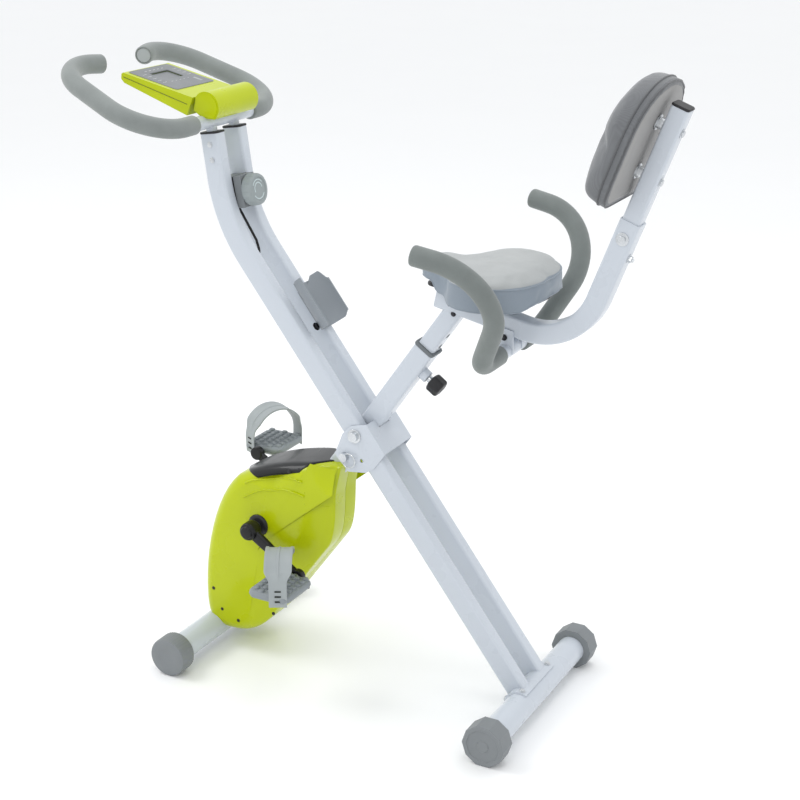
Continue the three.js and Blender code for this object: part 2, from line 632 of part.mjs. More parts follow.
// A pad or board in front of the backrest tube, from n0 forward to n1, with a rounded front edge.
function backrestSlab(inset, n0, n1, bevel) {
  const rounded = { bevelSize: bevel, bevelOffset: -bevel, bevelThickness: bevel, bevelSegments: 3 };
  const options = bevel ? { ...rounded, depth: n0 - n1 - bevel } : { bevelEnabled: false, depth: n0 - n1 };
  const slab = new THREE.ExtrudeGeometry(backrestOutline(inset), { curveSegments: 6, ...options });
  slab.applyMatrix4(new THREE.Matrix4().makeRotationX(Math.PI / 2)).translate(0, n0, 0);
  return bevel ? common(slab, box(-300, 300, n1 - 1, n0, 0, 900)) : slab;
}

function makeBackrestBoard() {
  const back = -BACK_TUBE.inner / 2 - GAP;
  const front = back - BACKREST.spacer;
  const board = backrestSlab(6, front, front - BACKREST.board, 0);
  const spacers = [312, 395].map((s) => rodY(9, front - 1, back, 0, s, 14));
  return placed(join(board, ...spacers), backFrame);
}
add(seat, "backrest_board", makeBackrestBoard(), "pale_grey_plastic");

const padBack = -BACK_TUBE.inner / 2 - 2 * GAP - BACKREST.spacer - BACKREST.board;
const pad = backrestSlab(0, padBack, padBack - BACKREST.pad, 14);
add(seat, "backrest_pad", placed(pad, backFrame), "backrest_fabric");

// Plan outline of the seat: a narrow nose that flares into two wings.
function seatOutline(inset) {
  const [nose, rear] = [SEAT.nose + inset, SEAT.rear - inset];
  const [noseHalf, half] = [SEAT.noseHalfWidth - inset * 0.8, SEAT.halfWidth - inset];
  const shape = new THREE.Shape();
  shape.moveTo(0, nose);
  shape.bezierCurveTo(noseHalf * 0.7, nose, noseHalf, nose + 12, noseHalf + 3, nose + 40);
  shape.bezierCurveTo(noseHalf + 8, nose + 85, half, nose + 75, half, nose + 140);
  shape.bezierCurveTo(half, rear - 40, half * 0.62, rear, 0, rear);
  shape.bezierCurveTo(-half * 0.62, rear, -half, rear - 40, -half, nose + 140);
  shape.bezierCurveTo(-half, nose + 75, -noseHalf - 8, nose + 85, -noseHalf - 3, nose + 40);
  shape.bezierCurveTo(-noseHalf, nose + 12, -noseHalf * 0.7, nose, 0, nose);
  return shape;
}

const PAN = { bottom: 764, thickness: 4, inset: 16 };

function makeSeatPan() {
  const options = { depth: PAN.thickness, bevelEnabled: false, curveSegments: 6 };
  const plate = new THREE.ExtrudeGeometry(seatOutline(PAN.inset), options).translate(0, 0, PAN.bottom);
  const cradle = box(-15, 15, 165, 245, 730, PAN.bottom + 1);
  return cut(join(plate, cradle), bracketTube(GAP));
}
add(seat, "seat_pan", makeSeatPan(), "black_plastic");

function makeSeatCushion() {
  const bevel = 10;
  const options = { depth: SEAT.top - SEAT.bottom - bevel, bevelSize: bevel, bevelOffset: -bevel,
    bevelThickness: bevel, bevelSegments: 2, curveSegments: 6 };
  const block = new THREE.ExtrudeGeometry(seatOutline(0), options).translate(0, 0, SEAT.bottom);
  const pocketOptions = { depth: 40, bevelEnabled: false, curveSegments: 6 };
  const pocketTop = PAN.bottom + PAN.thickness + GAP;
  const pocket = new THREE.ExtrudeGeometry(seatOutline(PAN.inset - 1.5), pocketOptions);
  const flatBottomed = common(block, box(-300, 300, 0, 500, SEAT.bottom, 900));
  return cut(flatBottomed, pocket.translate(0, 0, pocketTop - 40));
}
add(seat, "seat_cushion", makeSeatCushion(), "vinyl");

// The rear handle is one bent tube on a pair of plates welded under the bracket tube.
function seatBarCorners(side, startX) {
  return [
    new THREE.Vector3(side * startX, SEAT_BAR.y, SEAT_BAR.z),
    new THREE.Vector3(side * SEAT_BAR.corner, SEAT_BAR.y, SEAT_BAR.z),
    new THREE.Vector3(side * 210.5, 355, 845),
    new THREE.Vector3(side * 225.5, 196, 873),
  ];
}
const seatBarRadii = [46, 100];

function makeSeatHandle() {
  const section = roundSection(HANDLEBAR.tube, HANDLEBAR.tube - HANDLEBAR.wall, 10);
  const [, ...left] = seatBarCorners(1, 0);
  const [, ...right] = seatBarCorners(-1, 0);
  const radii = [...seatBarRadii].reverse().concat(seatBarRadii);
  const tube = swept(section, [...left.reverse(), ...right], radii, BEND_STEPS);
  const { y, z } = SEAT_BAR;
  const [front, rear] = [y - 14, y + 14];
  const cheek = outline([[front, z - 4], [rear, z - 4], [rear, z + 36], [front, z + 42]]);
  const inner = BACK_TUBE.size / 2 + GAP;
  const bore = rodX(HANDLEBAR.tube - HANDLEBAR.wall / 2, -40, 40, y, z, 12);
  const plates = [inner, -inner - 3].map((x) => cut(plateX(cheek, x, x + 3), bore));
  return join(tube, ...plates);
}
add(seat, "seat_handle", makeSeatHandle(), "white_paint");
for (const [name, side] of [["seat_grip_left", 1], ["seat_grip_right", -1]]) {
  const corners = seatBarCorners(side, SEAT_BAR.gripStart);
  add(seat, name, swept(gripSection(), corners, seatBarRadii, BEND_STEPS), "foam");
}

// ---------------------------------------------------------------- housing
function housingOutline() {
  const shape = new THREE.Shape();
  shape.moveTo(-44, 412);
  shape.bezierCurveTo(-100, 408, -180, 402, -262, 356);
  shape.bezierCurveTo(-314, 312, -346, 190, -342, 92);
  shape.bezierCurveTo(-340, 48, -326, 33, -286, 33);
  shape.bezierCurveTo(-256, 33, -232, 40, -206, 69);
  shape.lineTo(-76, 245);
  shape.bezierCurveTo(-64, 262, -60, 300, -59, 352);
  return shape;
}

// The housing's outer form, or its inner form when inset by the wall.
function housingForm(inset) {
  const halfWidth = HOUSING.halfWidth - inset;
  const depth = 2 * (halfWidth - HOUSING.crown);
  const form = new THREE.ExtrudeGeometry(housingOutline(), {
    depth,
    bevelSize: HOUSING.bevel,
    bevelOffset: -HOUSING.bevel - inset,
    bevelThickness: HOUSING.crown,
    bevelSegments: 3,
    curveSegments: 5,
  });
  return form.applyMatrix4(toYZ).translate(-depth / 2, 0, 0);
}

const tubeSpace = MAIN.size / 2 + 0.8;
const housingShell = cut(
  housingForm(0),
  housingForm(HOUSING.wall),
  placed(box(-tubeSpace, tubeSpace, -tubeSpace, tubeSpace, -600, 0), mainFrame),
  rodX(74, -100, 100, PIVOT.y, PIVOT.z, 32),
  rodX(14, -100, 100, CRANK.y, CRANK.z, 20),
  rodX(saddleTop + 1, -100, 100, -FOOT.reach, FOOT.height, 24),
);

// The black cover takes a lens-shaped piece out of the top, across the joint between the two shells.
function coverRegion(margin) {
  const lens = new THREE.Shape();
  lens.moveTo(0, -252 - margin);
  lens.bezierCurveTo(34 + margin, -246, 40 + margin, -150, 26 + margin, -112 + margin);
  lens.lineTo(-26 - margin, -112 + margin);
  lens.bezierCurveTo(-40 - margin, -150, -34 - margin, -246, 0, -252 - margin);
  const options = { depth: 200, bevelEnabled: false, curveSegments: 6 };
  return new THREE.ExtrudeGeometry(lens, options).translate(0, 0, 340);
}
const shellWithoutCover = cut(housingShell, coverRegion(GAP));
const housingHalves = [["housing_left", HOUSING.split, 100], ["housing_right", -100, -HOUSING.split]];
for (const [name, x0, x1] of housingHalves) {
  add(frontFrame, name, common(shellWithoutCover, box(x0, x1, -400, 60, 0, 500)), "green_shell");
}
add(frontFrame, "housing_cover", common(housingShell, coverRegion(0)), "black_gloss");

// ---------------------------------------------------------------- drive
function makeBottomBracket() {
  const shell = rodX(20, -22, 22, CRANK.y, CRANK.z, 20);
  const offset = new THREE.Vector3(0, CRANK.y, CRANK.z).applyMatrix4(mainFrame.clone().invert());
  const gusset = box(-17, 17, offset.y, -MAIN.size / 2 - GAP, offset.z - 26, offset.z + 26);
  return cut(join(shell, placed(gusset, mainFrame)), rodX(17, -30, 30, CRANK.y, CRANK.z, 20));
}
add(frontFrame, "bottom_bracket", makeBottomBracket(), "white_paint");

// Closed loop around two circles in the YZ plane, each given as [y, z, radius].
function loopAround([y0, z0, r0], [y1, z1, r1], Type) {
  const along = Math.atan2(z1 - z0, y1 - y0);
  const spread = Math.acos((r0 - r1) / Math.hypot(y1 - y0, z1 - z0));
  return new Type()
    .absarc(y0, z0, r0, along + spread, along - spread + 2 * Math.PI)
    .absarc(y1, z1, r1, along - spread, along + spread);
}

function makeBelt() {
  const loop = (extra, Type) =>
    loopAround([CRANK.y, CRANK.z, BELT.drive + extra], [FLYWHEEL.y, FLYWHEEL.z, BELT.driven + extra], Type);
  const shape = loop(0.6 + BELT.thickness, THREE.Shape);
  shape.holes.push(loop(0.6, THREE.Path));
  return plateX(shape, BELT.x - BELT.width / 2 + 1, BELT.x + BELT.width / 2 - 1, 10);
}
add(frontFrame, "drive_belt", makeBelt(), "rubber");

const crankset = bodyGroup();
add(crankset, "crank_axle", rodX(CRANK.axle, -100, 100, CRANK.y, CRANK.z, 16), "steel");

function makeDrivePulley() {
  const [x0, x1] = [BELT.x - BELT.width / 2, BELT.x + BELT.width / 2];
  const holes = Array.from({ length: 5 }, (_, i) => {
    const angle = (2 * Math.PI * i) / 5;
    return rodX(14, x0 - 5, x1 + 5, CRANK.y + 46 * Math.cos(angle), CRANK.z + 46 * Math.sin(angle), 12);
  });
  const bore = rodX(CRANK.axle + GAP, x0 - 5, x1 + 5, CRANK.y, CRANK.z, 16);
  return cut(rodX(BELT.drive, x0, x1, CRANK.y, CRANK.z, 40), bore, ...holes);
}
add(crankset, "drive_pulley", makeDrivePulley(), "black_plastic");

// The left crank points to the rear and down, and the right crank opposite it.
const crankDirection = [Math.cos(radians(CRANK.tilt)), -Math.sin(radians(CRANK.tilt))];
const spindleAt = (side) => crankDirection.map((d, i) => [CRANK.y, CRANK.z][i] + side * CRANK.length * d);

function makeCrank(side) {
  const [y, z] = spindleAt(side);
  const [x0, x1] = [CRANK.x - 6.5, CRANK.x + 6.5];
  const arm = loopAround([CRANK.y, CRANK.z, 12], [y, z, 9.5], THREE.Shape);
  const bosses = [rodX(15.5, x0 - 4, x1 + 3, CRANK.y, CRANK.z, 20), rodX(12.5, x0, x1, y, z, 16)];
  const axleHole = rodX(CRANK.axle + GAP, 0, 200, CRANK.y, CRANK.z);
  const spindleHole = rodX(PEDAL.spindle + GAP, 0, 200, y, z, 12);
  const made = cut(join(plateX(arm, x0 + 1, x1 - 1, 6), ...bosses), axleHole, spindleHole);
  return mirrored(made, side);
}

function makeSpindle(side) {
  const [y, z] = spindleAt(side);
  const [start, end, r] = [CRANK.x - 6, PEDAL.x + PEDAL.width / 2 - 6, PEDAL.spindle];
  const [flange0, flange1] = [CRANK.x + 7, CRANK.x + 11];
  const flange = [[flange0, r], [flange0, 8.5], [flange1, 8.5], [flange1, r]];
  const profile = [[start, 0], [start, r], ...flange, [end, r], [end, 0]];
  return mirrored(turnedX(profile, y, z, 12), side);
}

// A tread block with bevelled edges, ribs across its top and bottom, and a blind bore for the spindle.
function makePedal(side) {
  const [y, z] = spindleAt(side);
  const [w, l, h] = [PEDAL.width, PEDAL.length, PEDAL.height];
  const lower = [[-l / 2, -3], [-l / 2 + 14, -h / 2 + 3], [l / 2 - 14, -h / 2 + 3], [l / 2, -3]];
  const upper = [[l / 2, 5], [l / 2 - 6, h / 2 - 3], [-l / 2 + 6, h / 2 - 3], [-l / 2, 5]];
  const body = plateX(outline([...lower, ...upper]), -w / 2, w / 2);
  const rib = (dy) => box(-w / 2 + 5, w / 2 - 5, dy - 4, dy + 4, -h / 2, h / 2);
  const ribs = [-30, -15, 0, 15, 30].map(rib);
  const bore = rodX(PEDAL.spindle + 0.4, -w / 2 - 1, w / 2 - 4, 0, 0, 12);
  return mirrored(cut(join(body, ...ribs), bore).translate(PEDAL.x, 0, 0), side).translate(0, y, z);
}

// The toe strap arches over the pedal, turned a little towards the outer rear corner.
const STRAP = { half: 47, rise: 76, width: 36, thickness: 2.6, turn: 28 };
function makeStrap(side) {
  const [y, z] = spindleAt(side);
  const [foot, shoulder] = [PEDAL.height / 2 + GAP, STRAP.rise - STRAP.half];
  const inner = STRAP.half - STRAP.thickness;
  const arch = new THREE.Shape();
  arch.moveTo(STRAP.half, foot);
  arch.lineTo(STRAP.half, shoulder);
  arch.absarc(0, shoulder, STRAP.half, 0, Math.PI);
  arch.lineTo(-STRAP.half, foot);
  arch.lineTo(-STRAP.half + 14, foot);
  arch.lineTo(-STRAP.half + 14, foot + 1.5);
  arch.lineTo(-inner, foot + 1.5);
  arch.absarc(0, shoulder, inner, Math.PI, 0, true);
  arch.lineTo(inner, foot + 1.5);
  arch.lineTo(STRAP.half - 14, foot + 1.5);
  arch.lineTo(STRAP.half - 14, foot);
  const options = { depth: STRAP.width, bevelEnabled: false, curveSegments: 8 };
  const band = new THREE.ExtrudeGeometry(arch, options);
  band.translate(0, 0, -STRAP.width / 2).rotateX(Math.PI / 2).rotateZ(radians(STRAP.turn));
  return mirrored(band.translate(PEDAL.x, 0, 0), side).translate(0, y, z);
}

for (const [word, side] of [["left", 1], ["right", -1]]) {
  add(crankset, `crank_${word}`, makeCrank(side), "black_metal");
  add(crankset, `pedal_spindle_${word}`, makeSpindle(side), "steel");
  const pedal = bodyGroup();
  add(pedal, `pedal_${word}`, makePedal(side), "grey_plastic");
  add(pedal, `toe_strap_${word}`, makeStrap(side), "pale_grey_plastic");
}

// The flywheel, its shaft through the main tube and the small belt pulley turn as one.
const flywheel = bodyGroup();
function makeFlywheel() {
  const { x, thickness, radius, shaft, y, z } = FLYWHEEL;
  const [rim0, rim1] = [x - thickness / 2, x + thickness / 2];
  const [pulley0, pulley1] = [BELT.x - BELT.width / 2, BELT.x + BELT.width / 2];
  const [hub, recess] = [18, 5];
  const pulley = [[pulley0, 0], [pulley0, BELT.driven], [pulley1, BELT.driven], [pulley1, shaft]];
  const innerFace = [[rim0 - 3, shaft], [rim0 - 3, hub], [rim0 + recess, hub], [rim0 + recess, radius - 16]];
  const rim = [[rim0, radius - 16], [rim0, radius], [rim1, radius], [rim1, radius - 16]];
  const outerFace = [[rim1 - recess, radius - 16], [rim1 - recess, hub], [rim1 + 8, shaft], [rim1 + 8, 0]];
  return turnedX([...pulley, ...innerFace, ...rim, ...outerFace], y, z, 28);
}
add(flywheel, "flywheel", makeFlywheel(), "cast_iron");

// The magnetic brake arm hangs from the stud on the main tube and curves over the flywheel's rim.
const brakeArm = bodyGroup();
function makeBrakeArm() {
  const stud = point(mainFrame, 0, BRAKE_STUD.s);
  const { y, z, radius, x } = FLYWHEEL;
  const from = Math.atan2(stud.z - z, stud.y - y);
  const to = radians(135);
  const arc = new THREE.Shape().absarc(y, z, radius + 26, from, to).absarc(y, z, radius + 4, to, from, true);
  const curved = plateX(arc, x - 10, x + 9);
  const boss = rodX(10, x - 10, x + 9, stud.y, stud.z, 16);
  const reach = radius + 28;
  const anchor = rodX(5, x - 4, x + 4, y + reach * Math.cos(to), z + reach * Math.sin(to), 10);
  return cut(join(curved, boss, anchor), rodX(BRAKE_STUD.radius + GAP, 0, 60, stud.y, stud.z, 12));
}
add(brakeArm, "brake_arm", makeBrakeArm(), "black_metal");

// The brake cable's lower stretch: inside the main tube, out through its left wall and to the brake arm.
function makeLowerCable() {
  const exit = point(mainFrame, 0, CABLE_EXIT.s);
  const above = CRANK.z + 28;
  const route = [
    point(mainFrame, 0, -30),
    exit,
    point(mainFrame, 0, CABLE_EXIT.s, MAIN.size / 2),
    new THREE.Vector3(FLYWHEEL.x, exit.y - 24, above),
    new THREE.Vector3(FLYWHEEL.x, CRANK.y - 48, above),
    new THREE.Vector3(FLYWHEEL.x, CRANK.y - 102, CRANK.z - 34),
  ];
  return swept(roundSection(CABLE.radius, 0, 8), route, [8, 10, 16, 30], 3);
}
add(frontFrame, "brake_cable_lower", makeLowerCable(), "rubber");

// ---------------------------------------------------------------- origin
// The part's origin is the middle of its footprint box, on the floor.
const extent = new THREE.Box3().setFromObject(bike);
const middle = extent.getCenter(new THREE.Vector3());
bike.position.set(-middle.x, -middle.y, -extent.min.z);

export default bike;
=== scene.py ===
"""Looks of the folding exercise bike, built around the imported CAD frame.

Shapes are drawn in the millimetres of the CAD design, where y = -10, z = 480 is the fold pivot,
and piece() carries them into the frame's metres. +X is the rider's left, -Y forward, +Z up.
"""
import json
import math

import bmesh
import bpy
from mathutils import Matrix, Vector
from mathutils.bvhtree import BVHTree


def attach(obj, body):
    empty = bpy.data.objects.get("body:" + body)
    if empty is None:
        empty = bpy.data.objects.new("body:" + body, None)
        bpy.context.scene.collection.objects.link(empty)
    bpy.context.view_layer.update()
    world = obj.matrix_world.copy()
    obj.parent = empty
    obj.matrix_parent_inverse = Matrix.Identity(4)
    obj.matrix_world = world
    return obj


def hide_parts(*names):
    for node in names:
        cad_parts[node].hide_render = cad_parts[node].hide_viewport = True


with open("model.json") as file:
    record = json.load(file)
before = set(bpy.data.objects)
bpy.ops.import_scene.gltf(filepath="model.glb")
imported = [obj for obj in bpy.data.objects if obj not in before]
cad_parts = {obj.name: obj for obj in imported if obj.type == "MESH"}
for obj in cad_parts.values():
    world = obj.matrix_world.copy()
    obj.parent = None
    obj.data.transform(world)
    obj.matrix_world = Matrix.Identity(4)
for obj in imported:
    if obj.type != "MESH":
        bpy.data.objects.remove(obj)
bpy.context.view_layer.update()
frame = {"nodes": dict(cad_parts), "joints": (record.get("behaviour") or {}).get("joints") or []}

# ---------------------------------------------------------------- driving dimensions, millimetres
PIVOT = (-10, 480)
FOOT_REACH, FOOT_HEIGHT, FOOT_TUBE, FOOT_END, CAP_LENGTH = 323, 37, 25, 211, 36
UPRIGHT_X, UPRIGHT_WIDTH, UPRIGHT_DEPTH = 34.5, 25, 38
KNEE_AT, KNEE_RADIUS, TOP_LEAN, ABOVE_KNEE = 442, 300, 8, 156
MAIN_SIZE, MAIN_TOP = 38, 203.5
POST_SIZE, POST_BOTTOM, POST_TOP = 32, 85, 318
BAR_TUBE, BAR_GRIP, BAR_RISE = 12.5, 16.8, 20
BACK_SIZE, BACK_INNER, BACK_LEAN, BACK_SLOPE = 35, 30, 20.8, 0.2206
BACK_TOP = 432
SEAT_BAR = (262, 670)
CRANK = (-208, 273)
CRANK_LENGTH, CRANK_X, CRANK_TILT = 122, 91.5, 34.7
PEDAL_X, PEDAL_WIDTH, PEDAL_LENGTH, PEDAL_HEIGHT = 152, 95, 84, 26
FLYWHEEL = (-240, 148)
CONSOLE_FRONT, CONSOLE_HEIGHT, CONSOLE_SLOPE, CONSOLE_LENGTH = -461, 1084, 12.5, 152
KNOB = (-280.5, 879)
KNOB_LEAN, KNOB_BASE, KNOB_FRONT, KNOB_RADIUS = 10, 35, 55, 29
STRAP_HALF, STRAP_RISE, STRAP_TURN = 54, 77, 28
FACE_X, REAR_RIM_X, FRONT_RIM_X = 62.5, 37, 36
BOLT_FACE = 50.6
SIDES = (("left", 1), ("right", -1))

fold = next(j for j in frame["joints"] if j["name"] == "frame_fold")
TO_METRES = Matrix.Translation(
    Vector(fold["pos_m"]) - Vector((0, PIVOT[0], PIVOT[1])) * 0.001
) @ Matrix.Scale(0.001, 4)


# ---------------------------------------------------------------- places
def run_frame(y, z, lean):
    """Axes of a run in the YZ plane: x lateral, y its rear-facing normal, z up along the run."""
    s, c = math.sin(math.radians(lean)), math.cos(math.radians(lean))
    return Matrix(((1, 0, 0, 0), (0, c, s, y), (0, -s, c, z), (0, 0, 0, 1)))


def lean_of(dy, dz):
    return math.degrees(math.atan2(dy, dz))


UPRIGHT_LEAN = lean_of(PIVOT[0] - FOOT_REACH, PIVOT[1] - FOOT_HEIGHT)
MAIN_LEAN = lean_of(PIVOT[0] + FOOT_REACH, PIVOT[1] - FOOT_HEIGHT)
UPRIGHT_RUN = run_frame(*PIVOT, UPRIGHT_LEAN)
MAIN_RUN = run_frame(*PIVOT, MAIN_LEAN)
KNEE = UPRIGHT_RUN @ Vector((0, 0, KNEE_AT))
TOP_DIRECTION = Vector((0, -math.sin(math.radians(TOP_LEAN)), math.cos(math.radians(TOP_LEAN))))
UPRIGHT_TOP = KNEE + TOP_DIRECTION * ABOVE_KNEE
BAR_CENTRE = UPRIGHT_TOP + TOP_DIRECTION * BAR_RISE
BACK_START = Vector((0, 130, 743.8))
BACK_CORNER = Vector((0, 382.5, 743.8 - BACK_SLOPE * 252.5))
BACK_RUN = run_frame(BACK_CORNER.y, BACK_CORNER.z, BACK_LEAN)
CONSOLE_FACE = Matrix.Translation((0, CONSOLE_FRONT, CONSOLE_HEIGHT)) @ Matrix.Rotation(
    -math.radians(CONSOLE_SLOPE), 4, "X"
)
KNOB_RUN = run_frame(*KNOB, -KNOB_LEAN)


def spindle_at(side):
    tilt = math.radians(CRANK_TILT)
    reach = side * CRANK_LENGTH
    return CRANK[0] + reach * math.cos(tilt), CRANK[1] - reach * math.sin(tilt)


# ---------------------------------------------------------------- materials
class Look:
    """A material with a Principled shader, and the node calls that the looks below share."""

    def __init__(self, name, colour, roughness, **sockets):
        self.material = bpy.data.materials.new(name)
        self.material.use_nodes = True
        self.nodes = self.material.node_tree.nodes
        self.links = self.material.node_tree.links
        self.shader = self.nodes["Principled BSDF"]
        self.colour = colour
        self.roughness = roughness
        for socket, value in sockets.items():
            self.shader.inputs[socket.replace("_", " ")].default_value = value
        self.place = self.nodes.new("ShaderNodeTexCoord").outputs["Object"]

    def texture(self, kind, scale, stretch=None, **settings):
        node = self.nodes.new(kind)
        node.inputs["Scale"].default_value = scale
        for key, value in settings.items():
            node.inputs[key].default_value = value
        place = self.place
        if stretch:
            mapping = self.nodes.new("ShaderNodeMapping")
            mapping.inputs["Scale"].default_value = stretch
            self.links.new(place, mapping.inputs["Vector"])
            place = mapping.outputs["Vector"]
        self.links.new(place, node.inputs["Vector"])
        return node

    def ranged(self, value, low, high, from_low=0.3, from_high=0.7):
        node = self.nodes.new("ShaderNodeMapRange")
        node.inputs["From Min"].default_value = from_low
        node.inputs["From Max"].default_value = from_high
        node.inputs["To Min"].default_value = low
        node.inputs["To Max"].default_value = high
        self.links.new(value, node.inputs["Value"])
        return node.outputs["Result"]

    def blend(self, factor, first, second):
        node = self.nodes.new("ShaderNodeMix")
        node.data_type = "RGBA"
        self.links.new(factor, node.inputs["Factor"])
        for socket, colour in (("A", first), ("B", second)):
            target = next(i for i in node.inputs if i.name == socket and i.type == "RGBA")
            if isinstance(colour, tuple):
                target.default_value = (*colour, 1)
            else:
                self.links.new(colour, target)
        return next(o for o in node.outputs if o.type == "RGBA")

    def mottle(self, amount, scale=14):
        """Slow drift of the colour, a little darker and a little lighter than its middle."""
        drift = self.texture("ShaderNodeTexNoise", scale, Detail=4.0)
        factor = self.ranged(drift.outputs["Fac"], 0, 1)
        dark = tuple(c * (1 - amount) for c in self.colour)
        light = tuple(min(1, c * (1 + amount)) for c in self.colour)
        return self.blend(factor, dark, light)

    def paint(self, colour):
        self.links.new(colour, self.shader.inputs["Base Color"])

    def vary_roughness(self, spread, scale=30):
        smudge = self.texture("ShaderNodeTexNoise", scale, Detail=5.0)
        low, high = self.roughness - spread, self.roughness + spread
        self.links.new(self.ranged(smudge.outputs["Fac"], low, high), self.shader.inputs["Roughness"])

    def bump(self, height, strength, distance, under=None):
        node = self.nodes.new("ShaderNodeBump")
        node.inputs["Strength"].default_value = strength
        node.inputs["Distance"].default_value = distance
        self.links.new(height, node.inputs["Height"])
        if under:
            self.links.new(under, node.inputs["Normal"])
        self.links.new(node.outputs["Normal"], self.shader.inputs["Normal"])
        return node.outputs["Normal"]


def gloss_paint(name, colour, roughness=0.28, coat=0.3):
    """Powder coat: a glossy film with the faint ripple that it cures with."""
    look = Look(name, colour, roughness, Specular_IOR_Level=0.3, Coat_Weight=coat, Coat_Roughness=0.12)
    look.paint(look.mottle(0.02, 6))
    look.vary_roughness(0.03, 12)
    peel = look.texture("ShaderNodeTexNoise", 260, Detail=1.0)
    look.bump(peel.outputs["Fac"], 0.06, 0.0002)
    return look.material


def moulding(name, colour, roughness, grain, strength=0.35, coat=0.0):
    """Injection-moulded plastic with a spark-eroded grain."""
    look = Look(name, colour, roughness, Specular_IOR_Level=0.35, Coat_Weight=coat, Coat_Roughness=0.08)
    look.paint(look.mottle(0.035))
    look.vary_roughness(0.07)
    specks = look.texture("ShaderNodeTexNoise", grain, Detail=3.0)
    look.bump(specks.outputs["Fac"], strength, 0.00025)
    return look.material


def gloss_moulding(name, colour):
    """Polished plastic: deep colour, a clear skin and the long ripple of a large moulding."""
    look = Look(name, colour, 0.3, Specular_IOR_Level=0.22, Coat_Weight=0.22, Coat_Roughness=0.06)
    look.paint(look.mottle(0.045, 7))
    look.vary_roughness(0.05, 18)
    fine = look.texture("ShaderNodeTexNoise", 300, Detail=2.0)
    slow = look.texture("ShaderNodeTexNoise", 22, Detail=1.0)
    below = look.bump(fine.outputs["Fac"], 0.05, 0.0002)
    look.bump(slow.outputs["Fac"], 0.12, 0.0012, below)
    return look.material


def foam_skin(name, colour):
    """Closed-cell foam sleeve: a soft matt skin with open pores of two sizes."""
    look = Look(name, colour, 0.78, Sheen_Weight=0.25, Sheen_Roughness=0.5)
    look.paint(look.mottle(0.07, 26))
    look.vary_roughness(0.08, 60)
    pores = look.texture("ShaderNodeTexVoronoi", 620)
    lumps = look.texture("ShaderNodeTexNoise", 170, Detail=4.0)
    below = look.bump(pores.outputs["Distance"], 0.4, 0.0004)
    look.bump(lumps.outputs["Fac"], 0.3, 0.0006, below)
    return look.material


def vinyl(name, top_colour, shaded_side_colour, seam_height):
    """Embossed vinyl: pebbled grain, with the side panel under the seam painted darker as shade, so the top
    panel is lighter.
    """
    look = Look(name, top_colour, 0.5, Sheen_Weight=0.1, Coat_Weight=0.08, Coat_Roughness=0.4)
    axes = look.nodes.new("ShaderNodeSeparateXYZ")
    look.links.new(look.place, axes.inputs["Vector"])
    unshaded_top = look.ranged(axes.outputs["Z"], 0, 1, seam_height - 0.0006, seam_height + 0.0006)
    # painted shade: below the seam the side panel takes the darker side colour
    look.paint(look.blend(unshaded_top, shaded_side_colour, look.mottle(0.04, 20)))
    look.vary_roughness(0.06, 50)
    pebbles = look.texture("ShaderNodeTexVoronoi", 520)
    creases = look.texture("ShaderNodeTexNoise", 34, Detail=6.0)
    below = look.bump(pebbles.outputs["Distance"], 0.35, 0.0004)
    look.bump(creases.outputs["Fac"], 0.2, 0.0014, below)
    return look.material


def coated_fabric(name, colour):
    """Close plain weave with a coated face: two crossed sets of threads, and slow shading."""
    look = Look(name, colour, 0.62, Sheen_Weight=0.35, Sheen_Roughness=0.4)
    threads = []
    for direction in ("X", "Z"):
        wave = look.texture("ShaderNodeTexWave", 210, Distortion=0.6)
        wave.bands_direction = direction
        threads.append(wave.outputs["Fac"])
    weave = look.nodes.new("ShaderNodeMath")
    weave.operation = "MULTIPLY"
    for thread, socket in zip(threads, weave.inputs):
        look.links.new(thread, socket)
    dark = tuple(c * 0.82 for c in colour)
    look.paint(look.blend(weave.outputs[0], dark, look.mottle(0.08, 24)))
    look.vary_roughness(0.08, 40)
    below = look.bump(weave.outputs[0], 0.35, 0.0004)
    folds = look.texture("ShaderNodeTexNoise", 26, Detail=3.0)
    look.bump(folds.outputs["Fac"], 0.2, 0.002, below)
    return look.material


def metal(name, colour, roughness, stretch, scratch=0.25):
    """Plated or turned metal: streaks along the way it was worked."""
    look = Look(name, colour, roughness, Metallic=1.0)
    look.paint(look.mottle(0.08, 40))
    streaks = look.texture("ShaderNodeTexNoise", 160, stretch=stretch, Detail=6.0)
    low, high = roughness * 0.7, roughness * 1.4
    look.links.new(look.ranged(streaks.outputs["Fac"], low, high), look.shader.inputs["Roughness"])
    look.bump(streaks.outputs["Fac"], scratch, 0.0002)
    return look.material


def lens(name, colour):
    """Display window: dark glossy cover with a faint mottle."""
    look = Look(name, colour, 0.12, Coat_Weight=1.0, Coat_Roughness=0.03)
    look.paint(look.mottle(0.1, 60))
    look.vary_roughness(0.04, 80)
    return look.material


WHITE = gloss_paint("white_powder_coat", (0.56, 0.60, 0.655))
LIME = gloss_moulding("lime_gloss", (0.46, 0.535, 0.0005))
BLACK_GLOSS = gloss_moulding("black_gloss", (0.008, 0.009, 0.010))
BLACK = moulding("black_plastic", (0.018, 0.018, 0.02), 0.42, 500)
GREY = moulding("grey_plastic", (0.25, 0.275, 0.29), 0.5, 420)
CAP_GREY = moulding("cap_grey", (0.21, 0.225, 0.235), 0.55, 420)
DARK_GREY = moulding("dark_grey_plastic", (0.15, 0.165, 0.175), 0.55, 520)
PALE_GREY = moulding("pale_grey_plastic", (0.36, 0.385, 0.39), 0.48, 460)
FOAM = foam_skin("foam_sleeve", (0.215, 0.235, 0.228))
SEAT_FOAM = foam_skin("seat_handle_foam", (0.165, 0.185, 0.178))
SEAM_HEIGHT = 0.801
# the second colour is the side panel's painted shade: darker and bluer than the top
VINYL = vinyl("seat_vinyl", (0.37, 0.385, 0.385), (0.22, 0.26, 0.305), SEAM_HEIGHT)
FABRIC = coated_fabric("backrest_fabric", (0.165, 0.172, 0.182))
PIPING = coated_fabric("piping", (0.10, 0.104, 0.11))
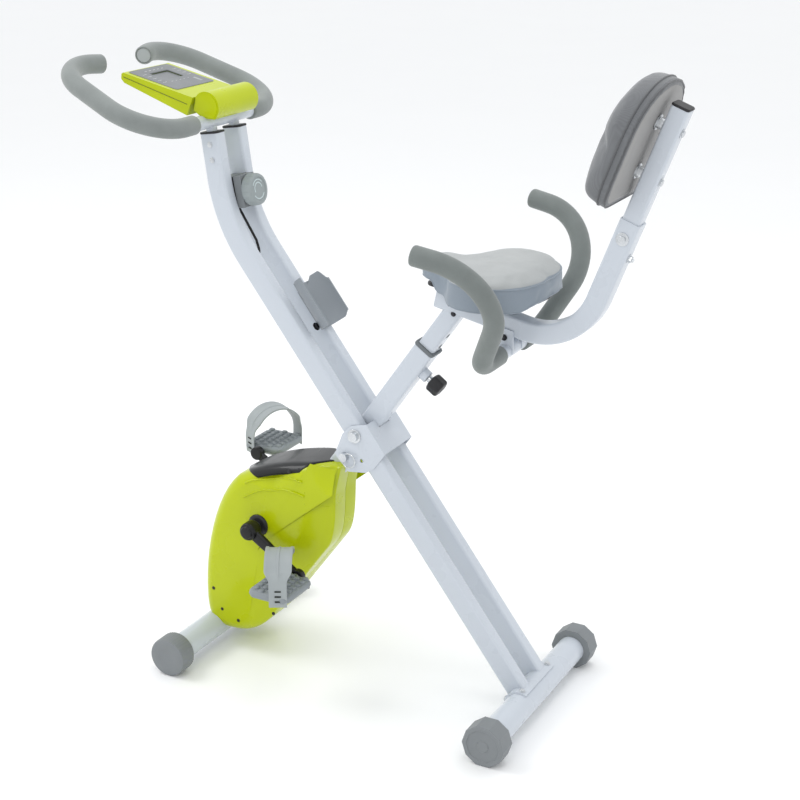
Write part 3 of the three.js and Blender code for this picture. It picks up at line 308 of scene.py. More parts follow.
STEEL = metal("zinc_steel", (0.62, 0.64, 0.66), 0.3, (1, 1, 6))
BRIGHT_STEEL = metal("turned_steel", (0.70, 0.71, 0.72), 0.22, (1, 8, 8))
CRANK_BLACK = gloss_paint("crank_black", (0.006, 0.006, 0.007), 0.34, 0.08)
IRON = metal("cast_iron", (0.20, 0.205, 0.21), 0.45, (4, 1, 1), 0.4)
RUBBER = moulding("rubber", (0.012, 0.012, 0.012), 0.7, 700)
SCREEN = lens("display", (0.13, 0.155, 0.125))
PRINT = moulding("printed_marks", (0.55, 0.57, 0.57), 0.6, 900)
GROOVE = moulding("groove_shade", (0.03, 0.035, 0.03), 0.8, 400)
BLACK_BOLT = metal("black_oxide", (0.05, 0.05, 0.055), 0.4, (1, 4, 4))
PANEL = moulding("backrest_panel", (0.33, 0.325, 0.32), 0.6, 300, 0.5)
STRAP_GREY = moulding("strap_grey", (0.335, 0.365, 0.37), 0.45, 500, 0.3)
FACE_GREY = moulding("faceplate_grey", (0.17, 0.18, 0.19), 0.42, 700, 0.2, 0.2)
# the window's walls: a green tinge darkened with painted shade of the recess
WINDOW_WALL_SHADE = moulding("window_wall_green_shade", (0.06, 0.085, 0.01), 0.5, 500)
KNOB_GREY = moulding("knob_grey", (0.29, 0.325, 0.33), 0.45, 460, 0.3)
KNOB_MARK = moulding("knob_marks", (0.52, 0.60, 0.61), 0.4, 700)
HOLDER_GREY = moulding("holder_grey", (0.27, 0.295, 0.32), 0.5, 420, 0.3)


# ---------------------------------------------------------------- mesh helpers
def smooth(bm, angle=32):
    """Smooth shading with crisp edges where two faces meet at more than the angle."""
    limit = math.radians(angle)
    for face in bm.faces:
        face.smooth = True
    for edge in bm.edges:
        edge.smooth = len(edge.link_faces) != 2 or edge.calc_face_angle(0) < limit


def piece(name, bm, material, body, stands_for=(), place=None, angle=32):
    """Turns a mesh drawn in millimetres into an object in the frame that rides on a body."""
    bmesh.ops.recalc_face_normals(bm, faces=bm.faces)
    bm.transform(TO_METRES @ (place or Matrix.Identity(4)))
    smooth(bm, angle)
    mesh = bpy.data.meshes.new(name)
    bm.to_mesh(mesh)
    bm.free()
    made = bpy.data.objects.new(name, mesh)
    bpy.context.scene.collection.objects.link(made)
    mesh.materials.append(material)
    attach(made, body)
    if stands_for:
        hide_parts(*stands_for)
    return made


def form_of(node, bm, material, body, angle=32):
    """A piece that stands for the CAD node that it is named after."""
    return piece(node + "_form", bm, material, body, (node,), angle=angle)


def add_ring_surface(bm, rings, cap_start=True, cap_end=True):
    """Joins rings of points, all of one length, into a skin with n-sided ends."""
    made = [[bm.verts.new(p) for p in ring] for ring in rings]
    count = len(made[0])
    for a, b in zip(made, made[1:]):
        for i in range(count):
            j = (i + 1) % count
            bm.faces.new((a[i], a[j], b[j], b[i]))
    if cap_start:
        bm.faces.new(made[0][::-1])
    if cap_end:
        bm.faces.new(made[-1])
    return made


def circle(radius, count=32):
    return [
        (radius * math.cos(2 * math.pi * i / count), radius * math.sin(2 * math.pi * i / count))
        for i in range(count)
    ]


def rounded_rectangle(width, height, radius, steps=5):
    points = []
    for quarter, (sx, sy) in enumerate(((1, 1), (-1, 1), (-1, -1), (1, -1))):
        cx, cy = sx * (width / 2 - radius), sy * (height / 2 - radius)
        for k in range(steps + 1):
            angle = (quarter + k / steps) * math.pi / 2
            points.append((cx + radius * math.cos(angle), cy + radius * math.sin(angle)))
    return points


def bent(corners, radii=(), steps=14):
    """Points and directions along straight runs joined by arcs."""
    corners = [Vector(c) for c in corners]
    ways = [(b - a).normalized() for a, b in zip(corners, corners[1:])]
    stations = [(corners[0], ways[0])]
    for corner, into, out, radius in zip(corners[1:-1], ways, ways[1:], radii):
        turn = into.angle(out)
        inward = (out - into * math.cos(turn)).normalized()
        start = corner - into * radius * math.tan(turn / 2)
        for k in range(steps + 1):
            a = turn * k / steps
            at = start + into * radius * math.sin(a) + inward * radius * (1 - math.cos(a))
            stations.append((at, into * math.cos(a) + inward * math.sin(a)))
    stations.append((corners[-1], ways[-1]))
    return stations


def sweep_rings(stations, section, side=(1, 0, 0), scales=None):
    """Rings of a section carried along stations, turned no more than the path turns."""
    side = Vector(side)
    rings = []
    for index, (at, way) in enumerate(stations):
        side = (side - way * side.dot(way)).normalized()
        up = way.cross(side)
        scale = scales[index] if scales else 1
        rings.append([at + side * a * scale + up * b * scale for a, b in section])
    return rings


def add_tube(bm, corners, section, radii=(), steps=14, side=(1, 0, 0), edge=0.8):
    """A bar along a bent path whose two ends have a small rounded edge."""
    stations = bent(corners, radii, steps)
    first, last = stations[0], stations[-1]
    inset = 1 - edge / max(math.hypot(*p) for p in section)
    stations = [
        first,
        (first[0] + first[1] * edge, first[1]),
        *stations[1:-1],
        (last[0] - last[1] * edge, last[1]),
        last,
    ]
    scales = [inset] + [1] * (len(stations) - 2) + [inset]
    return add_ring_surface(bm, sweep_rings(stations, section, side, scales))


def tube(corners, section, radii=(), steps=14, side=(1, 0, 0), edge=0.8):
    bm = bmesh.new()
    add_tube(bm, corners, section, radii, steps, side, edge)
    return bm


def add_lathe(bm, profile, place=None, count=64):
    """A turned form: the profile lists (along, radius) and the axis is X of the place."""
    place = place or Matrix.Identity(4)
    rings = []
    for along, radius in profile:
        radius = max(radius, 0.01)
        rings.append([place @ Vector((along, a, b)) for a, b in circle(radius, count)])
    add_ring_surface(bm, rings)


def lathe(profile, place=None, count=64):
    bm = bmesh.new()
    add_lathe(bm, profile, place, count)
    return bm


def softened(profile, radius=0.8, steps=3):
    """A lathe profile with its inner corners rounded by a small radius."""
    points = [Vector(p) for p in profile]
    made = [points[0]]
    for before, corner, after in zip(points, points[1:], points[2:]):
        into, out = (corner - before), (after - corner)
        reach = min(radius, into.length / 2.2, out.length / 2.2)
        start, end = corner - into.normalized() * reach, corner + out.normalized() * reach
        for k in range(steps + 1):
            t = k / steps
            made.append(start * (1 - t) ** 2 + corner * 2 * t * (1 - t) + end * t * t)
    made.append(points[-1])
    return [tuple(p) for p in made]


def add_plate(bm, outline, low, high, place=None):
    """A flat plate: the outline in two axes, run between two levels of the third."""
    place = place or Matrix.Identity(4)
    rings = [[place @ Vector((a, b, level)) for a, b in outline] for level in (low, high)]
    add_ring_surface(bm, rings)


def bevel(bm, width, segments=2, angle=30):
    limit = math.radians(angle)
    edges = [e for e in bm.edges if len(e.link_faces) == 2 and e.calc_face_angle(0) > limit]
    bmesh.ops.bevel(
        bm, geom=edges, offset=width, segments=segments, profile=0.5, affect="EDGES", clamp_overlap=True
    )


def add_box(bm, low, high, place=None):
    (x0, y0, z0), (x1, y1, z1) = low, high
    add_plate(bm, [(x0, y0), (x1, y0), (x1, y1), (x0, y1)], z0, z1, place)


def refined(node, material, body, width=0.6, segments=2):
    """A copy of a flat-sided CAD node with rounded edges."""
    bm = bmesh.new()
    bm.from_mesh(frame["nodes"][node].data)
    bmesh.ops.remove_doubles(bm, verts=bm.verts, dist=1e-5)
    bmesh.ops.dissolve_limit(bm, angle_limit=0.02, verts=bm.verts, edges=bm.edges)
    bevel(bm, width * 0.001, segments, 25)
    return piece(node + "_form", bm, material, body, (node,), TO_METRES.inverted())


# Turns that point a lathe's X along Y, and a plate's third axis along X.
ALONG_Y = Matrix.Rotation(math.pi / 2, 4, "Z")
PLATE_X = Matrix(((0, 0, 1, 0), (1, 0, 0, 0), (0, 1, 0, 0), (0, 0, 0, 1)))


def moved(x, y, z):
    return Matrix.Translation((x, y, z))


def outward(side):
    """Points a lathe's X away from the middle plane."""
    return Matrix.Identity(4) if side > 0 else Matrix.Rotation(math.pi, 4, "Z")


# ---------------------------------------------------------------- camera, light and floor
def make_studio():
    camera_data = bpy.data.cameras.new("camera")
    camera_data.lens = 72.6
    camera_data.clip_end = 50
    camera = bpy.data.objects.new("camera", camera_data)
    camera.location = TO_METRES @ Vector((2341.25, 1308.18, 1500.21))
    camera.rotation_euler = (math.radians(70.17), 0, math.radians(118.18))
    bpy.context.scene.collection.objects.link(camera)
    bpy.context.scene.camera = camera

    floor_form = bmesh.new()
    bmesh.ops.create_grid(floor_form, x_segments=2, y_segments=2, size=14)
    mesh = bpy.data.meshes.new("floor")
    floor_form.to_mesh(mesh)
    floor_form.free()
    floor = bpy.data.objects.new("floor", mesh)
    bpy.context.scene.collection.objects.link(floor)
    floor_look = Look("studio_floor", (0.97, 0.97, 0.97), 0.6)
    floor_look.paint(floor_look.mottle(0.004, 2))
    floor_look.vary_roughness(0.05, 6)
    mesh.materials.append(floor_look.material)

    world = bpy.data.worlds.new("studio")
    world.use_nodes = True
    world.node_tree.nodes["Background"].inputs["Color"].default_value = (0.97, 0.985, 1, 1)
    world.node_tree.nodes["Background"].inputs["Strength"].default_value = 0.98
    bpy.context.scene.world = world
    bpy.context.scene.view_settings.view_transform = "Standard"

    lamps = (
        ("key", (0.6, -2.4, 3.2), 1.4, 34),
        ("left_rim", (2.6, 0.4, 2.6), 0.7, 9),
        ("top", (-0.8, 0.6, 3.4), 1.6, 16),
    )
    for name, place, size, power in lamps:
        data = bpy.data.lights.new(name, "AREA")
        data.size = size
        data.energy = power
        lamp = bpy.data.objects.new(name, data)
        lamp.location = place
        lamp.rotation_euler = (Vector((0, 0, 0.6)) - Vector(place)).to_track_quat("-Z", "Y").to_euler()
        bpy.context.scene.collection.objects.link(lamp)


# ---------------------------------------------------------------- fasteners
def add_socket_bolt(bm, place, head=5, height=4, washer=7.5):
    """A washer and a round bolt head with a hexagon socket, standing out along X of the place."""
    add_lathe(bm, softened([(0, 0), (0, washer), (1.4, washer), (1.4, 0)], 0.4), place, 32)
    button = [(1.2, 0), (1.2, head), (height, head), (height, head * 0.62)]
    add_lathe(bm, softened(button, 0.8), place, 32)
    socket = circle(head * 0.52, 6)
    rings = [
        [place @ Vector((level, a * grow, b * grow)) for a, b in socket]
        for level, grow in ((height + 0.02, 1.16), (height - 0.3, 1), (height - 2, 0.96))
    ]
    add_ring_surface(bm, rings, cap_start=False)


def add_nut(bm, place, across=11, height=6, washer=8.5):
    """A hexagon nut on a washer with the end of its bolt standing proud."""
    add_lathe(bm, softened([(0, 0), (0, washer), (1.4, washer), (1.4, 0)], 0.4), place, 32)
    hexagon = circle(across / 2 / math.cos(math.pi / 6), 6)
    rings = [
        [place @ Vector((level, a * grow, b * grow)) for a, b in hexagon]
        for level, grow in ((1.2, 1), (height - 0.8, 1), (height, 0.88))
    ]
    add_ring_surface(bm, rings)
    thread = [(height - 1, 0), (height - 1, 3), (height + 3, 3), (height + 3, 0)]
    add_lathe(bm, softened(thread, 0.5), place, 24)


def fasteners(name, places, body, material=None, make=add_socket_bolt, **sizes):
    bm = bmesh.new()
    for place in places:
        make(bm, place, **sizes)
    return piece(name, bm, material or STEEL, body)


# ---------------------------------------------------------------- rear frame
def make_uprights():
    section = rounded_rectangle(UPRIGHT_WIDTH, UPRIGHT_DEPTH, 5)
    axle = Vector((0, FOOT_REACH, FOOT_HEIGHT))
    foot = axle + (KNEE - axle).normalized() * 18
    rims, screws = bmesh.new(), []
    for word, side in SIDES:
        shift = Vector((side * UPRIGHT_X, 0, 0))
        corners = [p + shift for p in (foot, KNEE, UPRIGHT_TOP)]
        form = tube(corners, section, [KNEE_RADIUS], 20)
        form_of(f"{word}_upright", form, WHITE, "rear_frame")
        top = UPRIGHT_TOP + shift
        rim = [top - TOP_DIRECTION * 1.5, top + TOP_DIRECTION * 2.2]
        add_tube(rims, rim, rounded_rectangle(UPRIGHT_WIDTH + 1.2, UPRIGHT_DEPTH + 1.2, 5.5))
        for down in (20, 47):
            centre = top - TOP_DIRECTION * down
            face_x = side * (UPRIGHT_X + UPRIGHT_WIDTH / 2)
            screws.append(moved(face_x, centre.y, centre.z) @ outward(side))
    piece("upright_rims", rims, BLACK, "rear_frame")
    fasteners("handlebar_screws", screws, "rear_frame", head=3.6, height=2.6, washer=5)


def make_stabiliser(name, y, body):
    half = FOOT_END - 6
    form = tube([(-half, y, FOOT_HEIGHT), (half, y, FOOT_HEIGHT)], circle(FOOT_TUBE, 64), side=(0, 1, 0))
    form_of(name, form, WHITE, body)


def make_rear_caps():
    """Ten-sided cups with rounded corners and a shallow dished end."""
    sides = 10
    outer = FOOT_HEIGHT / math.cos(math.pi / sides)
    for word, side in SIDES:
        bm = bmesh.new()
        ring = [
            (outer * math.cos(math.pi / sides + 2 * math.pi * i / sides - math.pi / 2),
             outer * math.sin(math.pi / sides + 2 * math.pi * i / sides - math.pi / 2))
            for i in range(sides)
        ]
        levels = ((FOOT_END - CAP_LENGTH, 1), (FOOT_END - 1.2, 1), (FOOT_END, 0.955), (FOOT_END, 0.80),
                  (FOOT_END - 1.6, 0.76), (FOOT_END - 1.6, 0.3), (FOOT_END - 0.2, 0.26))
        rings = [
            [Vector((side * x, FOOT_REACH + a * grow, FOOT_HEIGHT + b * grow)) for a, b in ring]
            for x, grow in levels
        ]
        add_ring_surface(bm, rings)
        bevel(bm, 1.6, 3, 20)
        form = form_of(f"rear_cap_{word}", bm, CAP_GREY, "rear_frame", angle=24)
        lift_to_floor(form)


def lift_to_floor(form):
    lowest = min(v.co.z for v in form.data.vertices)
    if lowest < 0:
        form.data.transform(Matrix.Translation((0, 0, -lowest)))


def make_rollers():
    """Ribbed rollers: a flat outer face and fine ribs along the tread."""
    ribs = 44
    count = ribs * 4
    for word, side in SIDES:
        rings = []
        profile = ((0, 0.92), (0, 0.97), (1.5, 1), (CAP_LENGTH - 4, 1), (CAP_LENGTH - 1, 0.965),
                   (CAP_LENGTH, 0.90), (CAP_LENGTH, 0.5), (CAP_LENGTH - 0.8, 0.44), (CAP_LENGTH - 0.8, 0.1))
        for along, grow in profile:
            depth = 0.9 if grow >= 1 else 0
            ring = []
            for i in range(count):
                angle = 2 * math.pi * i / count
                radius = FOOT_HEIGHT * grow - depth * (0.5 - 0.5 * math.cos(ribs * angle))
                x = side * (FOOT_END - CAP_LENGTH + along)
                y, z = radius * math.cos(angle) - FOOT_REACH, FOOT_HEIGHT + radius * math.sin(angle)
                ring.append(Vector((x, y, z)))
            rings.append(ring)
        bm = bmesh.new()
        add_ring_surface(bm, rings)
        form_of(f"roller_{word}", bm, CAP_GREY, f"roller_{word}")


def make_saddles():
    """Curved plates between each stabiliser and the frame on it, held by a pair of bolts."""
    for name, y, lean, half, body in (
        ("rear_saddle", FOOT_REACH, UPRIGHT_LEAN, 62, "rear_frame"),
        ("front_saddle", -FOOT_REACH, MAIN_LEAN, 32, "front_frame"),
    ):
        run = run_frame(y, FOOT_HEIGHT, lean)
        outer, inner = FOOT_TUBE + 3.4, FOOT_TUBE + 0.2
        angles = [math.radians(25 + 130 * i / 16) for i in range(17)]
        outline = [(outer * math.cos(a), outer * math.sin(a)) for a in angles]
        outline += [(inner * math.cos(a), inner * math.sin(a)) for a in reversed(angles)]
        bm = bmesh.new()
        add_plate(bm, outline, -half, half, run @ PLATE_X)
        bevel(bm, 0.7, 2, 40)
        form_of(name, bm, WHITE, body)
        places = []
        for x in (-half + 7, half - 7):
            for tilt in (42, -42):
                turn = Matrix.Rotation(math.radians(90 - tilt), 4, "X")
                places.append(run @ moved(x, 0, 0) @ turn @ ALONG_Y @ moved(outer, 0, 0))
        fasteners(name + "_bolts", places, body, head=4, height=3.4, washer=5.6)


def bar_corners(side, start_x):
    return [
        (side * start_x, BAR_CENTRE.y, BAR_CENTRE.z),
        (side * 215, BAR_CENTRE.y, BAR_CENTRE.z),
        (side * 160, -543, 1102),
        (side * 60, -508, 1094),
    ]


def seat_bar_corners(side, start_x):
    return [
        (side * start_x, SEAT_BAR[0], SEAT_BAR[1]),
        (side * 118, SEAT_BAR[0], SEAT_BAR[1]),
        (side * 210.5, 355, 845),
        (side * 225.5, 196, 873),
    ]


def make_grip(name, corners, radii, material, body):
    """A foam sleeve with rolled ends, and the pale plug that closes the tube inside it."""
    stations = bent(corners, radii, 20)
    tip, way = stations[-1]
    start, start_way = stations[0]
    stations = [
        (start, start_way),
        (start + start_way * 1.2, start_way),
        (start + start_way * 3.5, start_way),
        *stations[1:-1],
        (tip - way * 3.5, way),
        (tip - way * 1.2, way),
        (tip, way),
        (tip, way),
        (tip - way * 3, way),
    ]
    scales = [0.86, 0.95, 1] + [1] * (len(stations) - 8) + [1, 0.965, 0.91, 0.83, 0.80]
    bm = bmesh.new()
    section = circle(BAR_GRIP, 40)
    add_ring_surface(bm, sweep_rings(stations, section, (0, 0.3, 1), scales))
    form_of(name, bm, material, body, angle=50)
    facing = way.to_track_quat("X", "Z").to_matrix().to_4x4()
    plug = lathe(softened([(-6, 0), (-6, 13.2), (-0.8, 13.2), (-0.8, 0)], 1.2), moved(*tip) @ facing, 48)
    piece(name + "_plug", plug, PALE_GREY, body)


def make_bars():
    section = circle(BAR_TUBE, 40)
    bar = bmesh.new()
    inner = 100
    add_tube(bar, [(-inner, BAR_CENTRE.y, BAR_CENTRE.z), (inner, BAR_CENTRE.y, BAR_CENTRE.z)], section,
             side=(0, 1, 0))
    for _, side in SIDES:
        top = BAR_CENTRE + Vector((side * UPRIGHT_X, 0, 0))
        add_tube(bar, [top - TOP_DIRECTION * 60, top], circle(9.5, 32))
    form_of("handlebar", bar, WHITE, "rear_frame")
    for word, side in SIDES:
        make_grip(f"handlebar_grip_{word}", bar_corners(side, 84), (84, 76), FOAM, "rear_frame")

    handle = bmesh.new()
    add_tube(handle, [(-60, *SEAT_BAR), (60, *SEAT_BAR)], section, side=(0, 1, 0))
    form_of("seat_handle", handle, WHITE, "seat")
    for word, side in SIDES:
        make_grip(f"seat_grip_{word}", seat_bar_corners(side, 42), (46, 100), SEAT_FOAM, "seat")


def make_handle_bracket():
    """Two plates under the bracket tube that hold the seat handle, and their bolts."""
    y, z = SEAT_BAR
    outline = [(y - 14, z - 4), (y + 14, z - 4), (y + 14, z + 36), (y - 14, z + 42)]
    bm = bmesh.new()
    for x in (BACK_SIZE / 2 + 0.3, -BACK_SIZE / 2 - 3.3):
        add_plate(bm, outline, x, x + 3, PLATE_X)
    bevel(bm, 1.0, 2, 40)
    piece("handle_bracket", bm, WHITE, "seat")
    places = [moved(side * (BACK_SIZE / 2 + 3.3), y - 2, z + 24) @ outward(side) for _, side in SIDES]
    fasteners("handle_bracket_bolts", places, "seat", BLACK_BOLT, head=3.6, height=3, washer=5.5)


def make_crossing():
    refined("pivot_bracket", WHITE, "rear_frame", 0.9, 3)
    face = BOLT_FACE
    bolt = bmesh.new()
    place = moved(0, *PIVOT)
    add_lathe(bolt, softened([(-face, 0), (-face, 6), (face, 6), (face, 0)], 0.5), place, 32)
    for side in (1, -1):
        end = place @ moved(side * face, 0, 0) @ outward(side)
        if side > 0:
            add_socket_bolt(bolt, end, head=9, height=9, washer=13)
        else:
            add_nut(bolt, end, across=19, height=9, washer=13)
    form_of("pivot_bolt", bolt, STEEL, "rear_frame")

    pin = bmesh.new()
    n, s = -41.3, -21.5
    run = UPRIGHT_RUN @ moved(0, n, s)
    tip = MAIN_SIZE / 2 + 1
    profile = [(tip, 0), (tip, 5), (face, 5), (face, 8), (face + 9, 8), (face + 9, 0)]
    add_lathe(pin, softened(profile, 0.8), run, 40)
    ring, wire = 13, 1.3
    steps = 48
    loop = []
    for i in range(steps):
        angle = 2 * math.pi * i / steps
        centre = Vector((0, ring * math.cos(angle), ring * math.sin(angle)))
        loop.append((centre, Vector((0, -math.sin(angle), math.cos(angle)))))
    hang = run @ moved(face + 5, 5.5, 3 - ring)
    rings = []
    for at, way in loop:
        out = at.normalized()
        rings.append([hang @ (at + out * a + Vector((1, 0, 0)) * b) for a, b in circle(wire, 10)])
    made = add_ring_surface(pin, rings, cap_start=False, cap_end=False)
    for i in range(10):
        j = (i + 1) % 10
        pin.faces.new((made[-1][i], made[-1][j], made[0][j], made[0][i]))
    form_of("fold_pin", pin, STEEL, "fold_pin")


# ---------------------------------------------------------------- front frame
def make_front_frame():
    square = rounded_rectangle(MAIN_SIZE, MAIN_SIZE, 5.5, 6)
    foot = math.hypot(FOOT_REACH + PIVOT[0], PIVOT[1] - FOOT_HEIGHT) - 18
    ends = [MAIN_RUN @ Vector((0, 0, s)) for s in (-foot, MAIN_TOP)]
    main = tube(ends, square)
    stud = MAIN_RUN @ Vector((0, 0, -307))
    add_lathe(main, softened([(10, 0), (10, 5), (47, 5), (47, 0)], 0.5), moved(0, stud.y, stud.z), 32)
    form_of("main_tube", main, WHITE, "front_frame")

    collar = [MAIN_RUN @ Vector((0, 0, s)) for s in (MAIN_TOP + 0.3, MAIN_TOP + 7)]
    form = tube(collar, rounded_rectangle(MAIN_SIZE + 3, MAIN_SIZE + 3, 6, 6), edge=1.2)
    form_of("seat_collar", form, DARK_GREY, "front_frame")

    boss = MAIN_RUN @ moved(0, MAIN_SIZE / 2, 161) @ ALONG_Y
    form = lathe(softened([(-1, 0), (-1, 11), (13, 11), (14, 9.5), (14, 0)], 1), boss, 48)
    form_of("seat_pin_boss", form, WHITE, "front_frame")
    make_seat_pin()


def make_seat_pin():
    """The spring pin's fluted knob on its steel neck."""
    lobes, radius = 6, 17
    place = MAIN_RUN @ moved(0, 0, 161) @ ALONG_Y
    head = bmesh.new()
    rings = []
    profile = ((40, 0.80), (40.8, 0.88), (43, 1), (60, 1), (63, 0.9), (64, 0.78), (64, 0.3), (63.4, 0.25))
    for level, grow in profile:
        ring = []
        for i in range(96):
            angle = 2 * math.pi * i / 96
            flute = 1 - 0.11 * (0.5 - 0.5 * math.cos(lobes * angle)) ** 0.6
            reach = radius * grow * (flute if grow > 0.5 else 1)
            ring.append(place @ Vector((level, reach * math.cos(angle), reach * math.sin(angle))))
        rings.append(ring)
    add_ring_surface(head, rings)
    form_of("seat_pin_knob", head, BLACK, "seat_pin")
    neck = lathe(softened([(17, 0), (17, 4), (33.8, 4), (33.8, 6.5), (41, 6.5), (41, 0)], 0.5), place, 40)
    piece("seat_pin_neck", neck, STEEL, "seat_pin")


# ---------------------------------------------------------------- curves for soft and moulded forms
def bezier(p0, p1, p2, p3, steps=12):
    """Points along a cubic curve, without its last point."""
    p0, p1, p2, p3 = (Vector(p) for p in (p0, p1, p2, p3))
    made = []
    for k in range(steps):
        t = k / steps
        u = 1 - t
        made.append(p0 * u**3 + p1 * 3 * u * u * t + p2 * 3 * u * t * t + p3 * t**3)
    return made


def evenly(points, count):
    """The closed outline again, with its points at even distances."""
    lengths = [(b - a).length for a, b in zip(points, points[1:] + points[:1])]
    total = sum(lengths)
    made = []
    index, passed = 0, 0.0
    for k in range(count):
        target = total * k / count
        while passed + lengths[index] < target:
            passed += lengths[index]
            index += 1
        start, end = points[index], points[(index + 1) % len(points)]
        made.append(start.lerp(end, (target - passed) / lengths[index]))
    return made


def inward_normals(points):
    """Unit normals that point into a closed outline, averaged over its neighbours."""
    area = sum(a.cross(b) for a, b in zip(points, points[1:] + points[:1]))
    sign = 1 if area > 0 else -1
    count = len(points)
    normals = []
    for i in range(count):
        way = points[(i + 2) % count] - points[i - 2]
        normals.append(Vector((-way.y, way.x)).normalized() * sign)
    return normals


def eased(value, low, high):
    t = min(1, max(0, (value - low) / (high - low)))
    return t * t * (3 - 2 * t)


def surface_of(form):
    """The piece's surface, in the frame, for laying seams and ribs on."""
    tree_form = bmesh.new()
    tree_form.from_mesh(form.data)
    tree = BVHTree.FromBMesh(tree_form)
    tree_form.free()
    return tree


def laid_on(tree, points, lift=0.0):
    """Points in design millimetres moved to the nearest place on a surface, and lifted off it."""
    back = TO_METRES.inverted()
    made = []
    for p in points:
        at, normal, _, _ = tree.find_nearest(TO_METRES @ Vector(p))
        made.append(back @ at + normal * lift)
    return made


def loop_tube(points, radius, count=10):
    """A closed round cord through points."""
    total = len(points)
    bm = bmesh.new()
    ways = [(points[(i + 1) % total] - points[i - 1]).normalized() for i in range(total)]
    up = ways[0].orthogonal().normalized()
    rings = []
    for at, way in zip(points, ways):
        up = (up - way * up.dot(way)).normalized()
        side = way.cross(up)
        rings.append([at + up * a + side * b for a, b in circle(radius, count)])
    made = add_ring_surface(bm, rings, cap_start=False, cap_end=False)
    first, last = made[0], made[-1]
    shift = min(range(count), key=lambda k: (last[0].co - first[k].co).length)
    for i in range(count):
        j = (i + 1) % count
        bm.faces.new((last[i], last[j], first[(j + shift) % count], first[(i + shift) % count]))
    return bm


def directed(points):
    """Each point of an open line with the way that the line runs there."""
    ways = [(b - a).normalized() for a, b in zip(points, points[1:])]
    return list(zip(points, [*ways, ways[-1]]))


# ---------------------------------------------------------------- padding by cloth simulation
def puffed(form, cap, voxel=0.005, pressure=4.0, keep=None):
    """Inflates a closed form as cloth, moves no point further than the cap, and smooths it.

    keep(point) is the share of the movement that a point takes, from 0 to 1."""
    remesh = form.modifiers.new("even_mesh", "REMESH")
    remesh.mode = "VOXEL"
    remesh.voxel_size = voxel
    remesh.use_smooth_shade = True
    take_modifiers(form)
    rest = [v.co.copy() for v in form.data.vertices]
    cloth = form.modifiers.new("Cloth", "CLOTH")
    cloth.settings.use_pressure = True
    cloth.settings.uniform_pressure_force = pressure
    cloth.settings.effector_weights.gravity = 0
    cloth.settings.mass = 0.3
    cloth.settings.tension_stiffness = 12
    cloth.settings.compression_stiffness = 12
    cloth.settings.shear_stiffness = 6
    cloth.settings.bending_stiffness = 0.6
    cloth.point_cache.frame_end = 20
    scene = bpy.context.scene
    for step in range(1, 21):
        scene.frame_set(step)
    take_modifiers(form)
    scene.frame_set(1)
    for vertex, start in zip(form.data.vertices, rest):
        push = vertex.co - start
        if push.length > cap:
            push *= cap / push.length
        share = keep(start) if keep else 1
        vertex.co = start + push * share
    polish = form.modifiers.new("even", "SMOOTH")
    polish.factor = 0.5
    polish.iterations = 4
    finer = form.modifiers.new("finer", "SUBSURF")
    finer.levels = finer.render_levels = 1
    take_modifiers(form)
    for polygon in form.data.polygons:
        polygon.use_smooth = True
    return form


def take_modifiers(form):
    """Applies every modifier of a piece to its mesh."""
    graph = bpy.context.evaluated_depsgraph_get()
    graph.update()
    mesh = bpy.data.meshes.new_from_object(form.evaluated_get(graph))
    form.modifiers.clear()
    old = form.data
    form.data = mesh
    bpy.data.meshes.remove(old)


def carve(form, bm):
    """Takes a shape drawn in millimetres out of a piece."""
    bmesh.ops.recalc_face_normals(bm, faces=bm.faces)
    bm.transform(TO_METRES)
    mesh = bpy.data.meshes.new("cutter")
    bm.to_mesh(mesh)
    bm.free()
    cutter = bpy.data.objects.new("cutter", mesh)
    bpy.context.scene.collection.objects.link(cutter)
    cut = form.modifiers.new("cut", "BOOLEAN")
    cut.operation = "DIFFERENCE"
    cut.object = cutter
    take_modifiers(form)
    bpy.data.objects.remove(cutter)


# ---------------------------------------------------------------- seat
def seat_outline(count=140):
    """Plan of the cushion: a narrow nose and two wings, with a shallow dip in the rear edge."""
    nose, rear, nose_half, half = 97, 341, 40, 122
    right = []
    right += bezier((0, nose), (nose_half * 0.7, nose), (nose_half, nose + 12), (nose_half + 3, nose + 40))
    right += bezier((nose_half + 3, nose + 40), (nose_half + 10, nose + 88), (half - 8, nose + 72),
                    (half, nose + 140))
    right += bezier((half, nose + 140), (half + 3, rear - 44), (half * 0.66, rear + 4), (0, rear - 5))
    left = [Vector((-p.x, p.y)) for p in reversed(right[1:])]
    return evenly([*right, Vector((0, rear - 5)), *left], count)


def seat_level(y):
    """Height of the cushion's top: low between the nose and the wings, and a little lower at the rear."""
    return 809 - 4 * math.exp(-(((y - 165) / 40) ** 2)) - 5 * eased(y, 285, 345)


def skirt_level(x, y):
    """Height of the skirt's lower edge: higher under the nose, and a little higher at the rear."""
    return 758 + 20 * (1 - eased(y, 118, 150)) + 8 * eased(y, 316, 336)


